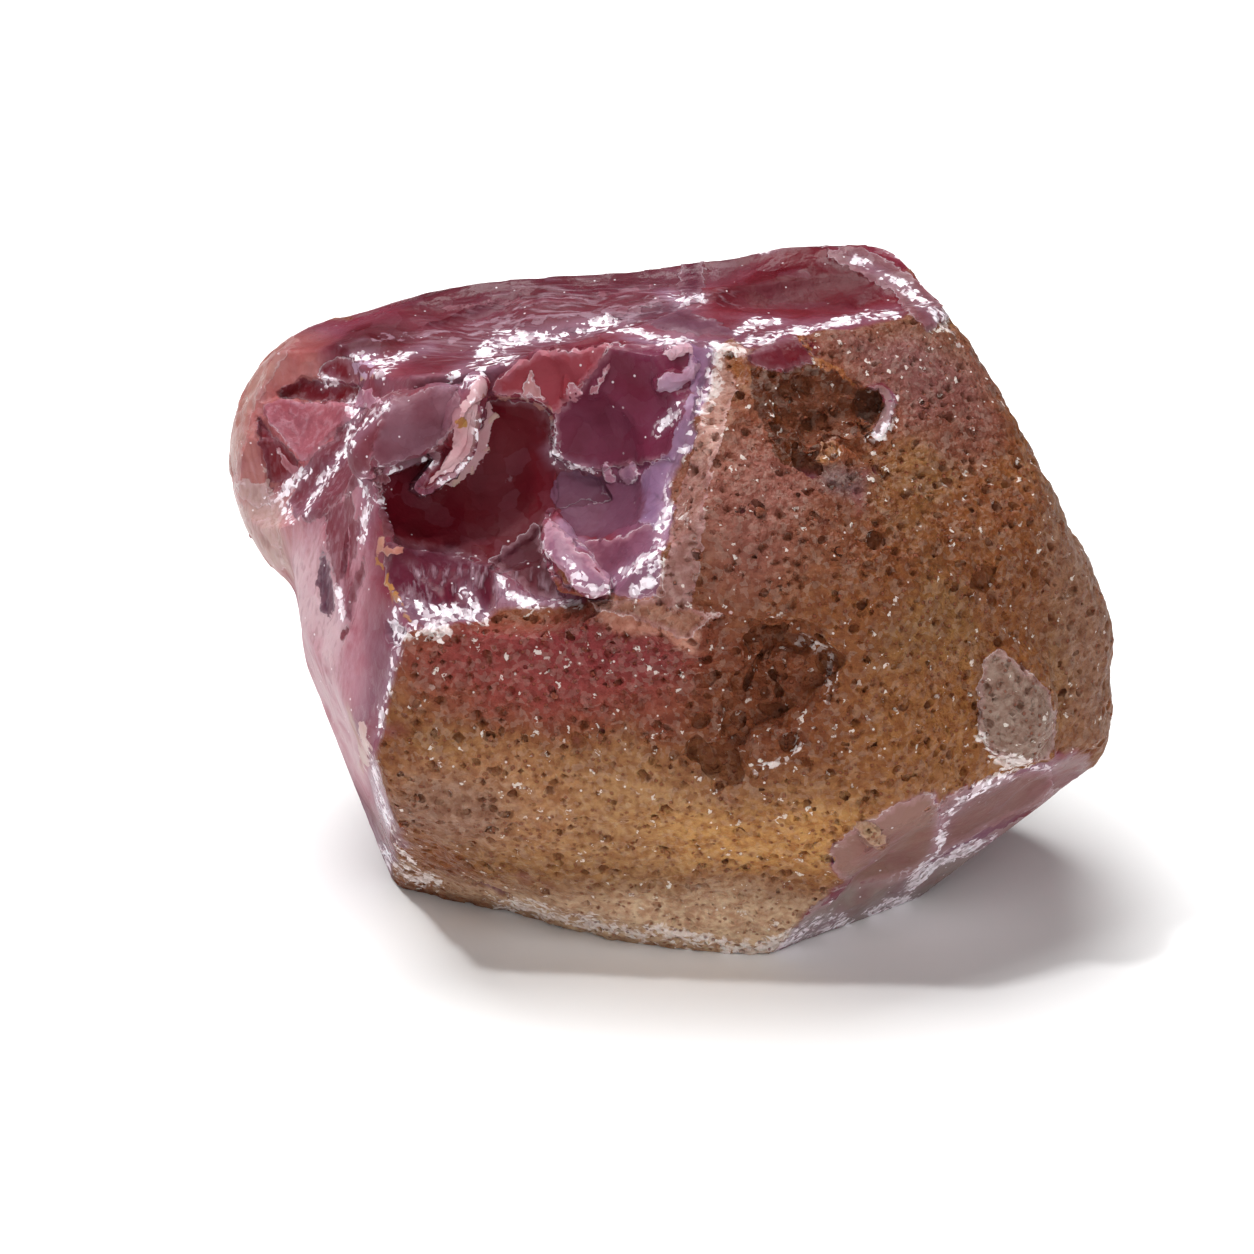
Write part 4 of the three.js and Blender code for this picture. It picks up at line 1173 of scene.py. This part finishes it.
    # The glass broke in small flat facets that lean each their own way, and its crushed
    # edges and the sand are made of angular grains.
    facets = add(tree, "ShaderNodeTexVoronoi", {"Vector": stirred, "Scale": 1 / (1.7 * MM)}, out=None)
    reach = add(tree, "ShaderNodeVectorMath", {0: stirred, 1: facets["Position"]}, operation="SUBTRACT")
    lean = add(
        tree,
        "ShaderNodeVectorMath",
        {0: facets["Color"], 1: (0.5, 0.5, 0.5)},
        operation="SUBTRACT",
    )
    lean = add(tree, "ShaderNodeVectorMath", {0: reach, 1: lean}, out="Value", operation="DOT_PRODUCT")
    facet_tone = add(tree, "ShaderNodeSeparateXYZ", {0: facets["Color"]}, out=2)
    grains = add(tree, "ShaderNodeTexVoronoi", {"Vector": stirred, "Scale": 1 / (0.36 * MM)}, out="Color")
    hard, bright, lone = add(tree, "ShaderNodeSeparateXYZ", {0: grains}, out=None)

    # The glass, deeper red in clouds.
    share = add(tree, ranged, {0: cloud, 1: 0.48, 2: 0.66, 3: 0.0, 4: 0.7})
    glass = add(
        tree,
        mixed,
        {0: share, 6: tint, 7: (0.76, 0.42, 0.48, 1)},
        out=2,
        data_type="RGBA",
        blend_type="MULTIPLY",
    )
    dark = add(tree, ranged, {0: shade, 1: 0.0, 2: 1.0, 3: 0.0, 4: 0.6})
    glass = add(tree, mixed, {0: dark, 6: glass, 7: (0.12, 0.012, 0.025, 1)}, out=2, data_type="RGBA")
    share = add(tree, maths, {0: fibre, 1: 0.36}, operation="MULTIPLY")
    glass = add(tree, mixed, {0: share, 6: glass, 7: (0.6, 0.42, 0.5, 1)}, out=2, data_type="RGBA")
    share = add(tree, ranged, {0: facet_tone, 1: 0.4, 2: 1.0, 3: 0.0, 4: 0.04})
    glass = add(tree, mixed, {0: share, 6: glass, 7: (0.5, 0.28, 0.4, 1)}, out=2, data_type="RGBA")
    # The lips show in patches; there they are white, partly chipped and partly painted highlight.
    chipped = add(tree, ranged, {0: patchy, 1: 0.45, 2: 0.58, 3: 0.0, 4: 0.9})
    lips = add(tree, maths, {0: lips, 1: chipped}, operation="MULTIPLY")
    faint = add(tree, ranged, {0: frost, 1: 0.0, 2: 0.3})
    loose = add(tree, ranged, {0: patchy, 1: 0.35, 2: 0.65, 3: -0.45, 4: 0.3})
    broken = add(tree, ranged, {0: hard, 1: 0.0, 2: 1.0, 3: 0.0, 4: -0.8})
    frosting = add(tree, maths, {0: frost, 1: broken})
    frosting = add(tree, maths, {0: frosting, 1: loose})
    frosting = add(tree, ranged, {0: frosting, 1: 0.28, 2: 0.5})
    frosting = add(tree, maths, {0: frosting, 1: faint}, operation="MULTIPLY")
    # White where edges are crushed and along the lips, the lips partly a painted highlight.
    white = add(tree, maths, {0: frosting, 1: lips}, operation="MAXIMUM")
    dim = add(tree, ranged, {0: bright, 1: 0.0, 2: 0.6, 3: 0.3, 4: 1.0})
    white = add(tree, maths, {0: white, 1: dim}, operation="MULTIPLY")
    share = add(tree, maths, {0: frost, 1: 0.22}, operation="MULTIPLY")
    glass = add(tree, mixed, {0: share, 6: glass, 7: (0.42, 0.28, 0.4, 1)}, out=2, data_type="RGBA")
    share = add(tree, maths, {0: white, 1: 0.95}, operation="MULTIPLY")
    glass = add(tree, mixed, {0: share, 6: glass, 7: (0.95, 0.86, 0.92, 1)}, out=2, data_type="RGBA")
    # Painted glints of the flat mirrors on the glass.
    share = add(tree, maths, {0: mirror_glint, 1: 0.7}, operation="MULTIPLY")
    glass = add(tree, mixed, {0: share, 6: glass, 7: (0.86, 0.78, 0.82, 1)}, out=2, data_type="RGBA")

    # The rind, with brown holes and fine grains, and glints painted pale on single grains.
    holes = add(tree, "ShaderNodeTexVoronoi", {"Vector": where, "Scale": 1 / (0.6 * MM)})
    hole = add(tree, ranged, {0: holes, 1: 0.26, 2: 0.14})
    # Painted glints: here and there a single grain lit pale.
    glint = add(tree, ranged, {0: lone, 1: 0.972, 2: 0.976, 3: 0.0, 4: 0.6})
    tiny = add(tree, ranged, {0: speck, 1: 0.5, 2: 0.56})
    glint = add(tree, maths, {0: glint, 1: tiny}, operation="MULTIPLY")
    share = add(tree, ranged, {0: crumb, 1: 0.38, 2: 0.62, 3: 0.0, 4: 0.85})
    sand = add(
        tree,
        mixed,
        {0: share, 6: tint, 7: (0.62, 0.46, 0.4, 1)},
        out=2,
        data_type="RGBA",
        blend_type="MULTIPLY",
    )
    share = add(tree, ranged, {0: bright, 1: 0.5, 2: 1.0, 3: 0.0, 4: 0.12})
    layers = [
        (share, (0.6, 0.5, 0.42, 1)),
        (glint, (0.85, 0.78, 0.72, 1)),
    ]
    share = add(tree, maths, {0: white, 1: 0.75}, operation="MULTIPLY")
    layers.append((share, (0.9, 0.82, 0.8, 1)))
    # Painted glints of the flat mirrors on the sand.
    share = add(tree, maths, {0: mirror_glint, 1: 0.6}, operation="MULTIPLY")
    layers.append((share, (0.86, 0.8, 0.76, 1)))
    share = add(tree, maths, {0: hole, 1: 0.7}, operation="MULTIPLY")
    layers.append((share, (0.19, 0.05, 0.025, 1)))
    # Darker in hollows and deep places: partly painted shade, partly the pits' own brown.
    share = add(tree, maths, {0: pit, 1: 0.65}, operation="MULTIPLY")
    layers.append((share, (0.17, 0.05, 0.022, 1)))
    for share, colour in layers:
        sand = add(tree, mixed, {0: share, 6: sand, 7: colour}, out=2, data_type="RGBA")
    skin = add(tree, mixed, {0: rind, 6: glass, 7: sand}, out=2, data_type="RGBA")
    tree.links.new(skin, shader.inputs["Base Color"])

    # Glass is waxy and smooth, and crushed edges and sand are dull.
    gloss = add(tree, ranged, {0: cloud, 1: 0.3, 2: 0.7, 3: 0.2, 4: 0.4})
    dull = add(tree, noisy, {"Vector": where, "Scale": 1 / (0.9 * MM), "Detail": 3})
    dull = add(tree, ranged, {0: dull, 1: 0.35, 2: 0.65, 3: 0.4, 4: 0.6})
    crushed = add(tree, maths, {0: white, 1: 0.25}, operation="MULTIPLY")
    sheltered = add(tree, maths, {0: pit, 1: 0.25}, operation="MULTIPLY")
    crushed = add(tree, maths, {0: crushed, 1: sheltered})
    gloss = add(tree, maths, {0: gloss, 1: crushed})
    deep = add(tree, maths, {0: pit, 1: 0.3}, operation="MULTIPLY")
    dull = add(tree, maths, {0: dull, 1: deep})
    rough = add(tree, mixed, {0: rind, 2: gloss, 3: dull}, data_type="FLOAT")
    tree.links.new(rough, shader.inputs["Roughness"])

    ripple = add(tree, noisy, {"Vector": where, "Scale": 1 / (1.3 * MM), "Detail": 5})
    ripple = add(tree, ranged, {0: ripple, 1: 0.0, 2: 1.0, 3: 0.0, 4: 1.4})
    steps = add(tree, maths, {0: steps, 1: 0.35}, operation="MULTIPLY")
    sparkle = add(tree, maths, {0: hard, 1: white}, operation="MULTIPLY")
    sparkle = add(tree, maths, {0: sparkle, 1: 1.2}, operation="MULTIPLY")
    smooth = add(tree, maths, {0: ripple, 1: steps})
    smooth = add(tree, maths, {0: smooth, 1: fibre})
    leaning = add(tree, maths, {0: lean, 1: 0.2 / (0.1 * MM)}, operation="MULTIPLY")
    smooth = add(tree, maths, {0: smooth, 1: leaning})
    smooth = add(tree, maths, {0: smooth, 1: sparkle})
    sunk = add(tree, maths, {0: hole, 1: -1.2}, operation="MULTIPLY")
    coarse = add(tree, maths, {0: crumb, 1: 2.2}, operation="MULTIPLY")
    fine = add(tree, maths, {0: speck, 1: 1.2}, operation="MULTIPLY")
    sandy = add(tree, maths, {0: coarse, 1: fine})
    sandy = add(tree, maths, {0: sandy, 1: sunk})
    height = add(tree, mixed, {0: rind, 2: smooth, 3: sandy}, data_type="FLOAT")
    bump = add(tree, "ShaderNodeBump", {"Height": height, "Distance": 0.1 * MM, "Strength": 1.0})
    tree.links.new(bump, shader.inputs["Normal"])

    shader.inputs["IOR"].default_value = 1.54
    shader.inputs["Specular IOR Level"].default_value = 0.13
    shader.inputs["Subsurface Weight"].default_value = 0.2
    shader.inputs["Subsurface Radius"].default_value = (1.0, 0.35, 0.4)
    shader.inputs["Subsurface Scale"].default_value = 0.8 * MM
    return material


lump.data.materials.clear()
lump.data.materials.append(raw_carnelian())

# ------------------------------------------------------------------ stage
deselect()
bpy.ops.object.camera_add(
    location=Vector(EYE) * MM,
    rotation=(math.radians(90 - EYE_LOOKS_DOWN), 0, 0),
)
camera = bpy.context.object
camera.data.lens = 100
camera.data.sensor_width = 36
camera.data.clip_start = 0.01
bpy.context.scene.camera = camera

bpy.ops.mesh.primitive_plane_add(size=6, location=(0, 0, 0))
floor = bpy.context.object
floor.name = "floor"


def paper():
    material = bpy.data.materials.new("white_paper")
    material.use_nodes = True
    shader = material.node_tree.nodes["Principled BSDF"]
    shader.inputs["Base Color"].default_value = (0.95, 0.95, 0.95, 1)
    shader.inputs["Roughness"].default_value = 0.9
    return material


floor.data.materials.append(paper())

def studio():
    """A white ceiling that darkens towards the horizon."""
    world = bpy.data.worlds.new("studio")
    bpy.context.scene.world = world
    world.use_nodes = True
    tree = world.node_tree
    way = add(tree, "ShaderNodeTexCoord", out="Generated")
    rise = add(tree, "ShaderNodeSeparateXYZ", {0: way}, out=2)
    light = add(tree, "ShaderNodeMapRange", {0: rise, 1: 0.45, 2: 0.95, 3: 0.35, 4: 1.2})
    tree.links.new(light, tree.nodes["Background"].inputs["Strength"])


def softbox(name, at, size, energy):
    """A square lamp that faces the lump."""
    deselect()
    bpy.ops.object.light_add(type="AREA", location=at)
    lamp = bpy.context.object
    lamp.name = name
    lamp.data.size = size
    lamp.data.energy = energy
    lamp.rotation_euler = (Vector((0, 0, 0.02)) - Vector(at)).to_track_quat("-Z", "Y").to_euler()


studio()
softbox("ceiling_box", (-0.2, 0.3, 1.2), 0.9, 20)
softbox("front_box", (0.25, -1.2, 0.7), 1.6, 13)
softbox("spark", (-0.4, -0.15, 0.95), 0.07, 3.5)

bpy.context.scene.view_settings.view_transform = "Standard"
